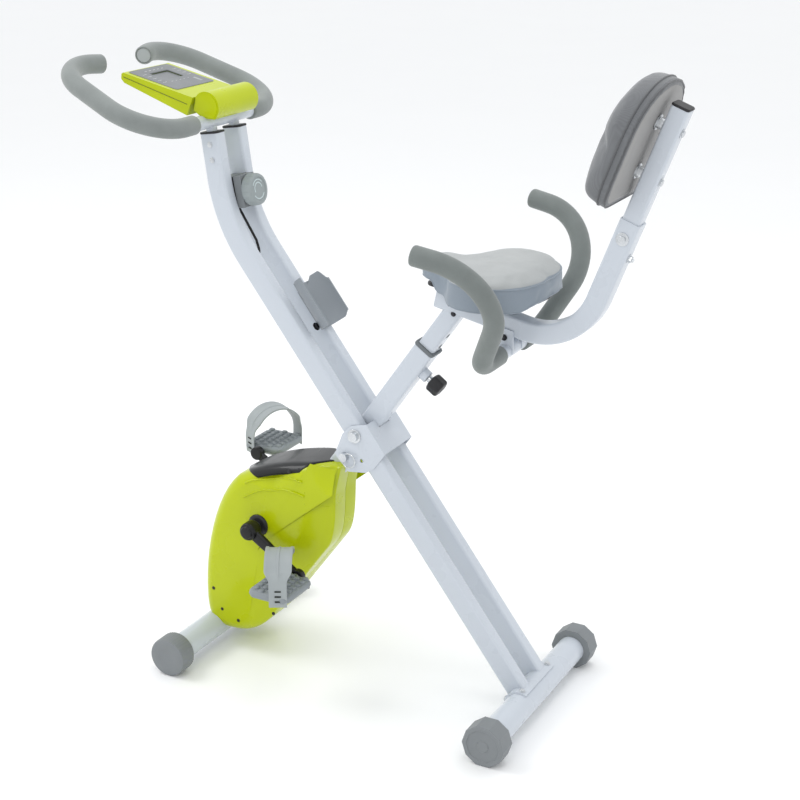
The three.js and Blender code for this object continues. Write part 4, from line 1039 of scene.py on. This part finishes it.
def make_cushion():
    outline = seat_outline()
    normals = inward_normals(outline)
    rings = []
    for inset, share in ((9, 0.0), (3, 0.0), (0.5, 0.08), (0, 0.3), (0, 0.75), (0.8, 0.93), (5, 1.0)):
        ring = []
        for p, n in zip(outline, normals):
            q = p + n * inset
            low = skirt_level(*p) + (0 if inset > 2 else 3)
            high = seat_level(p.y)
            ring.append(Vector((q.x, q.y, low + (high - low) * share)))
        rings.append(ring)
    for grow in (0.85, 0.6, 0.35, 0.12):
        ring = []
        for p, n in zip(outline, normals):
            edge = p + n * 5
            spine = Vector((0, min(max(edge.y, 150), 290)))
            q = spine.lerp(edge, grow)
            ring.append(Vector((q.x, q.y, seat_level(q.y) + 3 * (1 - grow**2))))
        rings.append(ring)
    bm = bmesh.new()
    add_ring_surface(bm, rings)
    form = form_of("seat_cushion", bm, VINYL, "seat", angle=60)
    floor_level = (TO_METRES @ Vector((0, 0, 764))).z
    puffed(form, 0.007, keep=lambda p: eased(p.z, floor_level, floor_level + 0.012))

    tree = surface_of(form)
    seam = [Vector((p.x, p.y, SEAM_HEIGHT * 1000)) for p in outline]
    piece("seat_seam", loop_tube(laid_on(tree, seam, 0.1), 1.5), VINYL, "seat")
    base = [Vector((p.x * 0.97, p.y, skirt_level(*p) + 3)) for p in outline]
    piece("seat_skirt_edge", loop_tube(laid_on(tree, base, -0.3), 1.4), VINYL, "seat")


def make_seat_pan():
    refined("seat_pan", BLACK, "seat", 0.8)
    springs = bmesh.new()
    for x in (-17, 17):
        add_box(springs, (x - 3, 150, 744), (x + 3, 255, 766))
    bevel(springs, 1.2)
    piece("seat_clamp_rails", springs, BLACK, "seat")


def make_seat_frame():
    square = rounded_rectangle(POST_SIZE, POST_SIZE, 5, 6)
    ends = [MAIN_RUN @ Vector((0, 0, s)) for s in (POST_BOTTOM, POST_TOP)]
    form_of("seat_post", tube(ends, square), WHITE, "seat")
    holes = bmesh.new()
    for s in (-70, -45, -20, 5, 62, 87):
        place = MAIN_RUN @ moved(0, POST_SIZE / 2 - 1, 161 + s) @ ALONG_Y
        add_lathe(holes, [(0, 0), (0, 4.6), (1.1, 4.6), (1.1, 0)], place, 28)
    piece("seat_post_holes", holes, GROOVE, "seat")

    end = BACK_RUN @ Vector((0, 0, 238))
    square = rounded_rectangle(BACK_SIZE, BACK_SIZE, 5, 6)
    form = tube([BACK_START, BACK_CORNER, end], square, [110], 24)
    form_of("seat_bracket_tube", form, WHITE, "seat")
    square = rounded_rectangle(BACK_INNER, BACK_INNER, 4.5, 6)
    ends = [BACK_RUN @ Vector((0, 0, s)) for s in (150, BACK_TOP)]
    form_of("backrest_tube", tube(ends, square), WHITE, "seat")
    ends = [BACK_RUN @ Vector((0, 0, s)) for s in (BACK_TOP - 0.4, BACK_TOP + 4)]
    plug = rounded_rectangle(BACK_INNER + 1, BACK_INNER + 1, 5, 6)
    form = tube(ends, plug, edge=1.5)
    form_of("backrest_plug", form, BLACK, "seat")

    side_bolt = BACK_RUN @ moved(BACK_SIZE / 2, 0, 208)
    nut = BACK_RUN @ moved(-BACK_SIZE / 2, 0, 208) @ outward(-1)
    fasteners("backrest_side_bolt", [side_bolt], "seat", head=6, height=4.5, washer=11)
    fasteners("backrest_side_nut", [nut], "seat", make=add_nut)
    rear_nut = BACK_RUN @ moved(0, BACK_SIZE / 2, 178) @ ALONG_Y
    fasteners("backrest_rear_nut", [rear_nut], "seat", make=add_nut, across=10, washer=7.5)
    under = MAIN_RUN @ moved(POST_SIZE / 2, 4, POST_TOP - 22)
    fasteners("seat_clamp_bolts", [under, under @ moved(0, -15, 9)], "seat", BLACK_BOLT, head=3.4, height=3,
              washer=4.6)


# ---------------------------------------------------------------- backrest
def backrest_outline(inset=0.0, count=150):
    """Arched outline, flat at the bottom, as (across, up the tube)."""
    w, r = 103, 34
    bottom, apex, shoulder = 260, 465, 376
    right = bezier((0, bottom), (20, bottom), (w - r - 20, bottom), (w - r, bottom))
    right += bezier((w - r, bottom), (w - 12, bottom), (w, bottom + 14), (w, bottom + r + 20))
    right += bezier((w, bottom + r + 20), (w, shoulder - 20), (w, shoulder - 10), (w, shoulder))
    right += bezier((w, shoulder), (w, apex - 27), (w * 0.5, apex), (0, apex))
    left = [Vector((-p.x, p.y)) for p in reversed(right[1:])]
    points = evenly([*right, Vector((0, apex)), *left], count)
    return [p + n * inset for p, n in zip(points, inward_normals(points))]


def backrest_ring(inset, n, bow=0.0):
    """One ring of the pad at a depth n, whose middle bows forward."""
    ring = []
    for p in backrest_outline(inset):
        ring.append(BACK_RUN @ Vector((p.x, n - bow * (1 - (p.x / 102) ** 2), p.y)))
    return ring


def make_backrest():
    rings = [backrest_ring(inset, n) for inset, n in (
        (24, -28), (12, -26.5), (4, -26), (1, -29), (0.5, -35), (0.5, -45), (1.5, -55), (6, -64), (14, -69),
    )]
    edge = backrest_outline(14)
    middle = Vector((0, 372))
    for grow, n in ((0.85, -72), (0.65, -74.5), (0.4, -76), (0.15, -76.5)):
        rings.append([
            BACK_RUN @ Vector((q.x, n, q.y)) for q in (middle.lerp(p, grow) for p in edge)
        ])
    bm = bmesh.new()
    add_ring_surface(bm, rings)
    form = form_of("backrest_pad", bm, FABRIC, "seat", angle=60)
    inverse = (TO_METRES @ BACK_RUN).inverted()
    puffed(form, 0.008, keep=lambda p: eased(-(inverse @ p).y, 29, 55))

    tree = surface_of(form)
    for name, inset, n in (("backrest_rear_piping", 1.5, -27.5), ("backrest_middle_piping", 0, -41)):
        line = backrest_ring(inset, n)
        piece(name, loop_tube(laid_on(tree, line, 0.3), 1.9), PIPING, "seat")

    panel = bmesh.new()
    rings = [backrest_ring(inset, n) for inset, n in ((11, -31), (9, -29), (9.5, -27), (13, -25))]
    edge = backrest_outline(14)
    for grow, n in ((0.94, -24.6), (0.7, -26.5), (0.35, -27.5), (0.08, -27.6)):
        rings.append([BACK_RUN @ Vector((q.x, n, q.y)) for q in (middle.lerp(p, grow) for p in edge)])
    add_ring_surface(panel, rings)
    form_of("backrest_board", panel, PANEL, "seat")
    bosses = bmesh.new()
    for s in (312, 395):
        place = BACK_RUN @ moved(0, -27.5, s) @ ALONG_Y
        profile = [(0, 0), (0, 13), (3, 13), (3, 9.5), (12, 9.5), (12, 0)]
        add_lathe(bosses, softened(profile, 0.8), place, 48)
        head = BACK_RUN @ moved(0, BACK_INNER / 2, s) @ ALONG_Y
        add_socket_bolt(bosses, head, head=5.5, height=4, washer=8)
    piece("backrest_bosses", bosses, STEEL, "seat")


# ---------------------------------------------------------------- housing


def housing_outline(count=220):
    """Side view of the housing, as (y, z)."""
    points = []
    points += bezier((-44, 412), (-100, 408), (-180, 402), (-262, 356))
    points += bezier((-262, 356), (-314, 312), (-346, 190), (-342, 92))
    points += bezier((-342, 92), (-340, 48), (-326, 33), (-286, 33))
    points += bezier((-286, 33), (-256, 33), (-232, 40), (-206, 69))
    points += bezier((-206, 69), (-162, 128.6), (-120, 185.5), (-76, 245))
    points += bezier((-76, 245), (-62, 264), (-59, 300), (-58, 352))
    points += bezier((-58, 352), (-55, 372), (-50, 392), (-44, 412))
    return evenly(points, count)


def rearness(p):
    """1 on the housing's rear face, which a broad facet narrows, and 0 round the front."""
    top = eased(p.y, 385, 405) * eased(-p.x, 50, 115)
    return eased(p.x, -232, -180) * (1 - top)


def housing_rings(points, start_x=0.4, side=1, swell=0.0):
    """Rings from the joint line out over the rim, the facet or rounded edge, and the side face."""
    normals = inward_normals(points)
    facets = [rearness(p) for p in points]
    steps = 12

    def ring(rule):
        made = []
        for p, n, rear in zip(points, normals, facets):
            inset, x = rule(rear)
            q = p + n * (inset - swell)
            made.append(Vector((side * x, q.x, q.y)))
        return made

    rings = [ring(lambda rear: (1.2, start_x)), ring(lambda rear: (0.25, start_x + 0.2)),
             ring(lambda rear: (0, start_x + 1.2))]
    for k in range(steps + 1):
        t = k / steps

        def rule(rear, t=t):
            angle = t * math.pi / 2
            round_inset, round_x = 24 * (1 - math.cos(angle)), math.sin(angle)
            soft = 0.5 - 0.5 * math.cos(math.pi * min(1, t * 1.35)) if t < 0.2 else t
            facet_inset = 50 * (soft if t < 0.2 else t)
            facet_x = t + 0.10 * math.sin(math.pi * t)
            rim = FRONT_RIM_X + (REAR_RIM_X - FRONT_RIM_X) * rear
            inset = round_inset + (facet_inset - round_inset) * rear
            rise = round_x + (facet_x - round_x) * rear
            return inset, rim + (FACE_X - rim) * min(1, rise)

        rings.append(ring(rule))
    last = rings[-1]
    middle = Vector((side * (FACE_X + 2.5), -205, 235))
    for grow in (0.97, 0.85, 0.66, 0.45, 0.25, 0.08):
        made = []
        for p in last:
            q = middle.lerp(p, grow)
            q.x = side * (FACE_X + 2.5 * (1 - grow**2))
            made.append(q)
        rings.append(made)
    return rings


def make_housing():
    outline = housing_outline()
    for word, side in SIDES:
        bm = bmesh.new()
        add_ring_surface(bm, housing_rings(outline, side=side))
        form = form_of(f"housing_{word}", bm, LIME, "front_frame", angle=28)
        add_housing_ribs(word, side, surface_of(form))
    joint = bmesh.new()
    inner = [p + n * 1.6 for p, n in zip(outline, inward_normals(outline))]
    add_ring_surface(joint, [[Vector((x, p.x, p.y)) for p in inner] for x in (-1, 1)])
    piece("housing_joint", joint, GROOVE, "front_frame")
    make_housing_cover(outline)
    make_housing_hardware()


def arc_points(start, top, end, x, count=40):
    """Points of a flat arch in the side view: from start to end, passing over the top."""
    made = []
    for k in range(count + 1):
        t = k / count
        y = start[0] + (end[0] - start[0]) * t
        base = start[1] + (end[1] - start[1]) * t
        lift = top - (start[1] + end[1]) / 2
        made.append(Vector((x, y, base + lift * 4 * t * (1 - t))))
    return made


def add_housing_ribs(word, side, tree):
    """Raised arcs under the cover, and two raised lines across the rear facet."""
    ribs = bmesh.new()
    lines = (
        arc_points((-240, 322), 352, (-108, 350), side * 70),
        arc_points((-238, 353), 379, (-112, 377), side * 70),
    )
    for line in lines:
        section = [(a * 2.8, b * 1.7) for a, b in circle(1.0, 12)]
        add_ring_surface(ribs, sweep_rings(directed(laid_on(tree, line, -0.5)), section, (side, 0, 0)))
    shares = [k / 16 for k in range(17)]
    for level in (330, 352):
        line = [Vector((side * (30 + 34 * t), -66 - 42 * t, level + 5 * t)) for t in shares]
        stations = directed(laid_on(tree, line, -0.55))
        add_ring_surface(ribs, sweep_rings(stations, circle(1.0, 10), (0, 0, 1)))
    piece(f"housing_ribs_{word}", ribs, LIME, "front_frame", angle=60)


def shoulder(x):
    """How far the housing's top has fallen below its middle line at a distance from it."""
    over = max(0, (x - FRONT_RIM_X) / (FACE_X - FRONT_RIM_X))
    return 24 * (1 - math.sqrt(max(0, 1 - over * over)))


def make_housing_cover(outline):
    """Black gloss cover over the top: a curved shield that narrows to the rear."""
    top = sorted((p for p in outline if p.x > -262 and p.y > 350 and p.x < -62), key=lambda p: -p.x)
    count = len(top)
    across = 24
    bm = bmesh.new()
    rings = []
    for index, p in enumerate(top):
        before, after = top[max(0, index - 2)], top[min(count - 1, index + 2)]
        way = (after - before).normalized()
        normal = Vector((way.y, -way.x)) if way.x < 0 else Vector((-way.y, way.x))
        if normal.y < 0:
            normal = -normal
        reach = 59 * math.sqrt(eased(p.x, -263, -215))
        reach = max(2, min(reach, 59 - 46 * max(0, (p.x + 122) / 60)))
        ring = []
        for k in range(across + 1):
            u = -1 + 2 * k / across
            x = u * reach
            drop = shoulder(abs(x))
            edge = 1 - eased(abs(u), 0.9, 1)
            q = p - normal * (drop - 0.9 - 1.6 * edge)
            ring.append(Vector((x, q.x, q.y)))
        for k in range(across, -1, -1):
            x = ring[k].x
            ring.append(Vector((x * 0.97, ring[k].y, ring[k].z)) - Vector((0, normal.x, normal.y)) * 4)
        rings.append(ring)
    add_ring_surface(bm, rings)
    form_of("housing_cover", bm, BLACK_GLOSS, "front_frame", angle=40)


def make_housing_hardware():
    """Dark screws low on each side, and a black collar round the crank on each side."""
    screws = []
    for side in (1, -1):
        for y, z in ((-298, 78), (-262, 62), (-316, 118), (-140, 392), (-182, 96)):
            screws.append(moved(side * (FACE_X - 0.6), y, z) @ outward(side))
    fasteners("housing_screws", screws, "front_frame", BLACK_BOLT, head=2.6, height=1.6, washer=3.4)
    bearings = bmesh.new()
    for side in (1, -1):
        place = moved(0, *CRANK) @ outward(side)
        profile = [(FACE_X - 2, 0), (FACE_X - 2, 21), (FACE_X + 4, 21), (FACE_X + 7, 17), (FACE_X + 7, 0)]
        add_lathe(bearings, softened(profile, 1.5), place, 64)
    piece("crank_seals", bearings, BLACK, "front_frame")


# ---------------------------------------------------------------- drive
def make_drive():
    axle = lathe(softened([(-98, 0), (-98, 8), (98, 8), (98, 0)], 0.6), moved(0, *CRANK), 48)
    form_of("crank_axle", axle, BRIGHT_STEEL, "crankset")
    hidden = {"drive_pulley": BLACK, "drive_belt": RUBBER, "flywheel": IRON, "brake_arm": CRANK_BLACK,
              "bottom_bracket": WHITE, "brake_cable_lower": RUBBER}
    for node, material in hidden.items():
        shown = frame["nodes"][node]
        shown.data.materials.clear()
        shown.data.materials.append(material)
    for word, side in SIDES:
        make_crank(word, side)
        make_pedal(word, side)
        make_toe_strap(word, side)


def make_crank(word, side):
    y, z = spindle_at(side)
    start, end = Vector((side * CRANK_X, *CRANK)), Vector((side * CRANK_X, y, z))
    count = 14
    section = rounded_rectangle(12, 22, 5, 5)
    arm = bmesh.new()
    way = (end - start).normalized()
    stations = [(start.lerp(end, k / count), way) for k in range(count + 1)]
    rings = []
    for index, (at, _) in enumerate(stations):
        t = index / count
        wide = 1.08 - 0.32 * eased(t, 0, 0.85)
        rings += sweep_rings([(at, way)], [(a, b * wide) for a, b in section])
    add_ring_surface(arm, rings)
    turn = outward(side)
    hub = [(78, 0), (78, 15), (81, 17), (99, 17), (104, 15), (104, 12.5), (108, 11), (108.5, 0)]
    add_lathe(arm, softened(hub, 1.5), moved(0, *CRANK) @ turn, 64)
    eye = [(84.5, 0), (84.5, 11.5), (86, 13), (97, 13), (98, 12), (98, 0)]
    add_lathe(arm, softened(eye, 1), moved(0, y, z) @ turn, 48)
    form_of(f"crank_{word}", arm, CRANK_BLACK, "crankset", angle=40)
    end_x = PEDAL_X + PEDAL_WIDTH / 2 - 6
    profile = [(86, 0), (86, 6), (98.5, 6), (98.5, 8.5), (102.5, 8.5), (102.5, 6), (end_x, 6), (end_x, 0)]
    spindle = lathe(softened(profile, 0.5), moved(0, y, z) @ turn, 40)
    form_of(f"pedal_spindle_{word}", spindle, STEEL, "crankset")


def make_pedal(word, side):
    """A moulded tread block: a smooth skirt and rows of rounded treads."""
    y, z = spindle_at(side)
    w, l, h = PEDAL_WIDTH / 2, PEDAL_LENGTH / 2, PEDAL_HEIGHT / 2
    place = moved(side * PEDAL_X, y, z)
    bm = bmesh.new()
    levels = ((-h + 1, 0.66, 0.62), (-h + 3.5, 0.74, 0.68), (-3, 0.96, 0.95), (2, 1, 1), (6, 0.985, 0.985),
              (h - 4.5, 0.95, 0.94), (h - 3.6, 0.91, 0.9), (h - 3.6, 0.5, 0.5))
    plan = rounded_rectangle(2 * w, 2 * l, 15, 8)
    rings = [[place @ Vector((a * gx, b * gy, level)) for a, b in plan] for level, gx, gy in levels]
    add_ring_surface(bm, rings)
    form_of(f"pedal_{word}", bm, GREY, f"{word}_pedal", angle=50)

    treads = bmesh.new()
    rows, columns = 5, 6
    for row in range(rows):
        for column in range(columns):
            x = (column - (columns - 1) / 2) * 14 + (3.4 if row % 2 else -3.4)
            dy = (row - (rows - 1) / 2) * 14.6
            if abs(x) > w - 8:
                continue
            for sign in (1, -1):
                size = 5.6 if sign > 0 else 4.2
                if sign < 0 and (abs(dy) > 22 or abs(x) > 26):
                    continue
                dome = [Vector((a * g, b * g * 1.05, sign * (h - 5 + rise)))
                        for g, rise in ((size, 0), (size * 0.94, 3.2), (size * 0.72, 4.6), (size * 0.3, 5))
                        for a, b in rounded_rectangle(2, 2, 0.7, 3)]
                side_count = len(dome) // 4
                rings = [
                    [place @ (p + Vector((x, dy, 0))) for p in dome[k * side_count:(k + 1) * side_count]]
                    for k in range(4)
                ]
                add_ring_surface(treads, rings)
    piece(f"pedal_{word}_treads", treads, GREY, f"{word}_pedal", angle=50)


def strap_path(count=64):
    """The strap's middle line: straight legs and an arch, as (across, up)."""
    made = []
    foot, spring = -9, 20
    for k in range(9):
        made.append(Vector((STRAP_HALF - 1 + k / 8, foot + (spring - foot) * k / 8)))
    for k in range(1, count):
        angle = math.pi * k / count
        rise = (STRAP_RISE - spring) * math.sin(angle)
        made.append(Vector((STRAP_HALF * math.cos(angle), spring + rise)))
    for k in range(9):
        made.append(Vector((-STRAP_HALF + k / 8, spring - (spring - foot) * k / 8)))
    return made


def make_toe_strap(word, side):
    """A moulded strap: wide over the arch with rims and a middle rib, and narrow at its slotted ends."""
    y, z = spindle_at(side)
    place = moved(side * PEDAL_X, y, z) @ Matrix.Rotation(math.radians(side * STRAP_TURN), 4, "Z")
    if side < 0:
        place = place @ Matrix.Scale(-1, 4, (1, 0, 0))
    path = strap_path()
    last = len(path) - 1
    rings = []
    for index, p in enumerate(path):
        way = (path[min(last, index + 1)] - path[max(0, index - 1)]).normalized()
        out = Vector((way.y, -way.x))
        ends = min(index, last - index)
        broad = eased(ends, 14, 22)
        half = 16 + 8.5 * broad
        rib = 1.2 * broad
        left = [(-1, 0), (-1, 1.6 + rib), (-0.86, 1.9 + rib), (-0.74, 1.5), (-0.1, 1.5), (-0.05, 1.5 + rib)]
        across = left + [(-u, level) for u, level in reversed(left)]
        ring = []
        for u, level in across:
            q = p + out * (level - 1)
            ring.append(place @ Vector((q.x, u * half, q.y)))
        rings.append(ring)
    bm = bmesh.new()
    add_ring_surface(bm, rings)
    bevel(bm, 0.25, 2, 50)
    form_of(f"toe_strap_{word}", bm, STRAP_GREY, f"{word}_pedal", angle=40)

    slots = bmesh.new()
    for across in (1, -1):
        for level in (2, 12, 22):
            x = across * (STRAP_HALF - 0.1 + (0.6 if level > 0 else 0))
            low = (min(x - 0.9, x + 0.9), -5.5, level - 1.4)
            high = (max(x - 0.9, x + 0.9), 5.5, level + 1.4)
            add_box(slots, low, high, place)
    bevel(slots, 0.4, 2)
    piece(f"toe_strap_{word}_slots", slots, GROOVE, f"{word}_pedal")


# ---------------------------------------------------------------- console
def make_console():
    """A lime wedge with a raised lip, a grey faceplate with a sunk window, and a rolled rear cover."""
    length = CONSOLE_LENGTH
    body = bmesh.new()
    outline = [(0, -3), (3, -0.2), (length, -0.2), (length - 6, -34), (8, -17), (1, -12)]
    add_plate(body, outline, -67, 67, CONSOLE_FACE @ PLATE_X)
    bevel(body, 2.6, 4, 25)
    shell = form_of("console_shell", body, LIME, "rear_frame")
    pocket = bmesh.new()
    add_box(pocket, (-50, 14, -7), (50, 104, 5), CONSOLE_FACE)
    carve(shell, pocket)

    split = bmesh.new()
    for side in (1, -1):
        route = [CONSOLE_FACE @ Vector((side * 67.2, y, -7 - y * 0.055)) for y in (5, 50, 100, length - 9)]
        add_tube(split, route, rounded_rectangle(0.8, 0.8, 0.3, 2), (4, 4), 2, (0, 0, 1), 0.2)
    piece("console_split", split, GROOVE, "rear_frame")

    make_faceplate()
    refined("mode_button", PALE_GREY, "mode_button", 1.2, 3)
    make_roll_cover()


def rectangle_ring(x, front, rear, level, radius):
    points = rounded_rectangle(2 * x, rear - front, radius, 5)
    return [CONSOLE_FACE @ Vector((a, b + (front + rear) / 2, level)) for a, b in points]


def make_faceplate():
    window_x, window_front, window_rear = 27, 30, 66
    rings = [
        rectangle_ring(58, 6, 112, -2, 6), rectangle_ring(58, 6, 112, 0.3, 6),
        rectangle_ring(57.2, 6.8, 111.2, 0.9, 5.4),
        rectangle_ring(window_x + 0.8, window_front - 0.8, window_rear + 0.8, 0.9, 2.5),
        rectangle_ring(window_x, window_front, window_rear, 0.2, 2),
        rectangle_ring(window_x - 1, window_front + 1, window_rear - 1, -3.4, 1.5),
    ]
    plate = bmesh.new()
    add_ring_surface(plate, rings, cap_end=False)
    form_of("console_faceplate", plate, FACE_GREY, "rear_frame")

    # the window's walls, dark green: painted shade of the recess over a green tinge
    edge = bmesh.new()
    add_ring_surface(edge, [
        rectangle_ring(window_x - 0.8, window_front + 0.8, window_rear - 0.8, -0.6, 1.6),
        rectangle_ring(window_x - 1.2, window_front + 1.2, window_rear - 1.2, -3.6, 1.4),
    ], cap_start=False, cap_end=False)
    piece("console_window_wall_shade", edge, WINDOW_WALL_SHADE, "rear_frame")

    screen = bmesh.new()
    add_ring_surface(screen, [
        rectangle_ring(window_x - 1.5, window_front + 1.5, window_rear - 1.5, -5.4, 1.2),
        rectangle_ring(window_x - 1.5, window_front + 1.5, window_rear - 1.5, -3.2, 1.2),
        rectangle_ring(window_x - 2.2, window_front + 2.2, window_rear - 2.2, -2.9, 1.0),
    ])
    form_of("console_screen", screen, SCREEN, "rear_frame")

    marks = bmesh.new()
    for x, rows in ((-47, 4), (41, 5)):
        for row in range(rows):
            y = 32 + row * 11
            for offset, half in ((0, 3.2), (6, 1.2)):
                low = (x + offset - half, y - 0.5, 0.6)
                add_box(marks, low, (x + offset + half, y + 0.5, 1.0), CONSOLE_FACE)
    for column in range(5):
        x = -24 + column * 12
        add_box(marks, (x - 3, 19.4, 0.6), (x + 3, 20.6, 1.0), CONSOLE_FACE)
        add_box(marks, (x - 2, 77.5, 0.6), (x + 2, 78.5, 1.0), CONSOLE_FACE)
    piece("console_marks", marks, PRINT, "rear_frame")


def make_roll_cover():
    y, z, radius = -289, 1036, 26
    outline = [
        (y + radius * math.cos(math.radians(a)), z + radius * math.sin(math.radians(a)))
        for a in (-52 + 196 * k / 30 for k in range(31))
    ]
    outline.append((y - 26, z - 8))
    outline.append((y - 8, z - 20))
    bm = bmesh.new()
    add_plate(bm, outline, -62, 62, PLATE_X)
    bevel(bm, 2.2, 3, 28)
    form_of("console_cover", bm, LIME, "rear_frame")
    caps = bmesh.new()
    inner = [((a - y) * 0.88 + y, (b - z) * 0.88 + z) for a, b in outline]
    for side in (1, -1):
        low, high = sorted((side * 61, side * 63.2))
        add_plate(caps, inner, low, high, PLATE_X)
    bevel(caps, 0.9, 2, 28)
    piece("console_cover_ends", caps, LIME, "rear_frame")


# ---------------------------------------------------------------- resistance knob and bottle holder
def make_knob():
    base = bmesh.new()
    half = UPRIGHT_X - UPRIGHT_WIDTH / 2 - 0.3
    add_box(base, (-half, -12, -28), (half, KNOB_BASE - 1, 28), KNOB_RUN)
    bevel(base, 2.5, 4)
    form_of("knob_base", base, CAP_GREY, "rear_frame")
    # a thin black band round the base: painted shade along its joint line
    shade = bmesh.new()
    add_box(shade, (-half - 0.2, 17, -28.2), (half + 0.2, 19, 28.2), KNOB_RUN)
    piece("knob_base_joint_shade", shade, BLACK, "rear_frame")

    place = KNOB_RUN @ ALONG_Y
    flutes, count = 12, 144
    profile = ((KNOB_BASE - 2, 0.3, 0), (KNOB_BASE + 0.5, 0.9, 0), (KNOB_BASE + 1.5, 0.96, 0.3),
               (KNOB_BASE + 4, 1, 1), (KNOB_FRONT - 3.5, 0.965, 1), (KNOB_FRONT - 1, 0.93, 0.4),
               (KNOB_FRONT, 0.88, 0), (KNOB_FRONT, 0.74, 0), (KNOB_FRONT - 1.4, 0.71, 0),
               (KNOB_FRONT - 1.6, 0.3, 0), (KNOB_FRONT - 1.2, 0.05, 0))
    rings = []
    for along, grow, flute in profile:
        ring = []
        for i in range(count):
            angle = 2 * math.pi * i / count
            dip = 1.1 * flute * max(0, math.cos(flutes * angle)) ** 6
            reach = KNOB_RADIUS * grow - dip
            ring.append(place @ Vector((along, reach * math.cos(angle), reach * math.sin(angle))))
        rings.append(ring)
    knob = bmesh.new()
    add_ring_surface(knob, rings)
    form_of("tension_knob", knob, KNOB_GREY, "tension_knob", angle=40)

    marks = bmesh.new()
    face = KNOB_FRONT - 1.3
    axis = place.to_3x3() @ Vector((1, 0, 0))
    section = [(a * 0.5, b) for a, b in circle(1.1, 8)]
    for radius, start, end in ((17, 40, 150), (11.5, 10, 200), (17, 215, 330)):
        angles = [math.radians(start + (end - start) * k / 24) for k in range(25)]
        arc = [place @ Vector((face, radius * math.cos(a), radius * math.sin(a))) for a in angles]
        add_ring_surface(marks, sweep_rings(directed(arc), section, axis))
    piece("tension_knob_marks", marks, KNOB_MARK, "tension_knob")


def make_cable():
    """The upper brake cable: out of the knob base and into the side of the left upright."""
    inlet = UPRIGHT_RUN @ Vector((0, 0, 362))
    route = [
        KNOB_RUN @ Vector((0, 4, -27)),
        Vector((0, inlet.y - 8, inlet.z + 26)),
        inlet,
        Vector((30, inlet.y, inlet.z)),
    ]
    form = tube(route, circle(2.3, 16), (12, 12), 8)
    form_of("brake_cable_upper", form, RUBBER, "rear_frame")


def wing_drop(angle):
    """How far the holder's top edge falls toward the end of its wing, by the angle round it."""
    return 20 * eased(angle, 205, 190) if angle < 205 else 0


def make_bottle_holder():
    """A cradle on the rear face of the right upright, with a flat wing, a V notch and a black screw."""
    x, outer, inner, low, high = -20, 42, 38.5, 190, 286
    n = UPRIGHT_DEPTH / 2 + 2 + outer
    place = UPRIGHT_RUN @ moved(x, n, 0)
    rings = []
    count = 72
    for k in range(count + 1):
        angle = 188 + 166 * k / count
        a = math.radians(angle)
        notch = 46 * max(0, 1 - abs(angle - 312) / 15)
        dip = 26 * (1 - min(1, abs(angle - 262) / 34) ** 2) if abs(angle - 262) < 34 else 0
        top = high - max(notch, dip * 0.55) - wing_drop(angle)
        lift = 8 * (1 - eased(angle, 188, 206))
        bottom = low + lift
        for_outer = Vector((outer * math.cos(a), outer * math.sin(a), 0))
        for_inner = Vector((inner * math.cos(a), inner * math.sin(a), 0))
        rings.append([
            place @ (for_outer + Vector((0, 0, bottom))), place @ (for_outer + Vector((0, 0, top))),
            place @ (for_inner + Vector((0, 0, top))), place @ (for_inner + Vector((0, 0, bottom))),
        ])
    bm = bmesh.new()
    add_ring_surface(bm, rings)
    bevel(bm, 1.1, 3, 50)
    form_of("bottle_holder", bm, HOLDER_GREY, "rear_frame", angle=40)

    pad = bmesh.new()
    face = UPRIGHT_DEPTH / 2
    add_box(pad, (-47, face + 0.2, low + 6), (-22, face + 8, high - 6), UPRIGHT_RUN)
    bevel(pad, 3, 4)
    add_box(pad, (-10, face + 1, low + 10), (-6, face + 12, high - 16), UPRIGHT_RUN)
    piece("bottle_holder_foot", pad, HOLDER_GREY, "rear_frame")
    screw = UPRIGHT_RUN @ moved(8, face + 6, low + 10) @ ALONG_Y
    fasteners("bottle_holder_screw", [screw], "rear_frame", BLACK_BOLT, head=5.2, height=5, washer=7.5)


# ---------------------------------------------------------------- the whole bike
make_studio()
make_uprights()
make_stabiliser("rear_stabiliser", FOOT_REACH, "rear_frame")
make_stabiliser("front_stabiliser", -FOOT_REACH, "front_frame")
make_rear_caps()
make_rollers()
make_saddles()
make_bars()
make_handle_bracket()
make_crossing()
make_front_frame()
make_seat_frame()
make_seat_pan()
make_cushion()
make_backrest()
make_housing()
make_drive()
make_console()
make_knob()
make_cable()
make_bottle_holder()
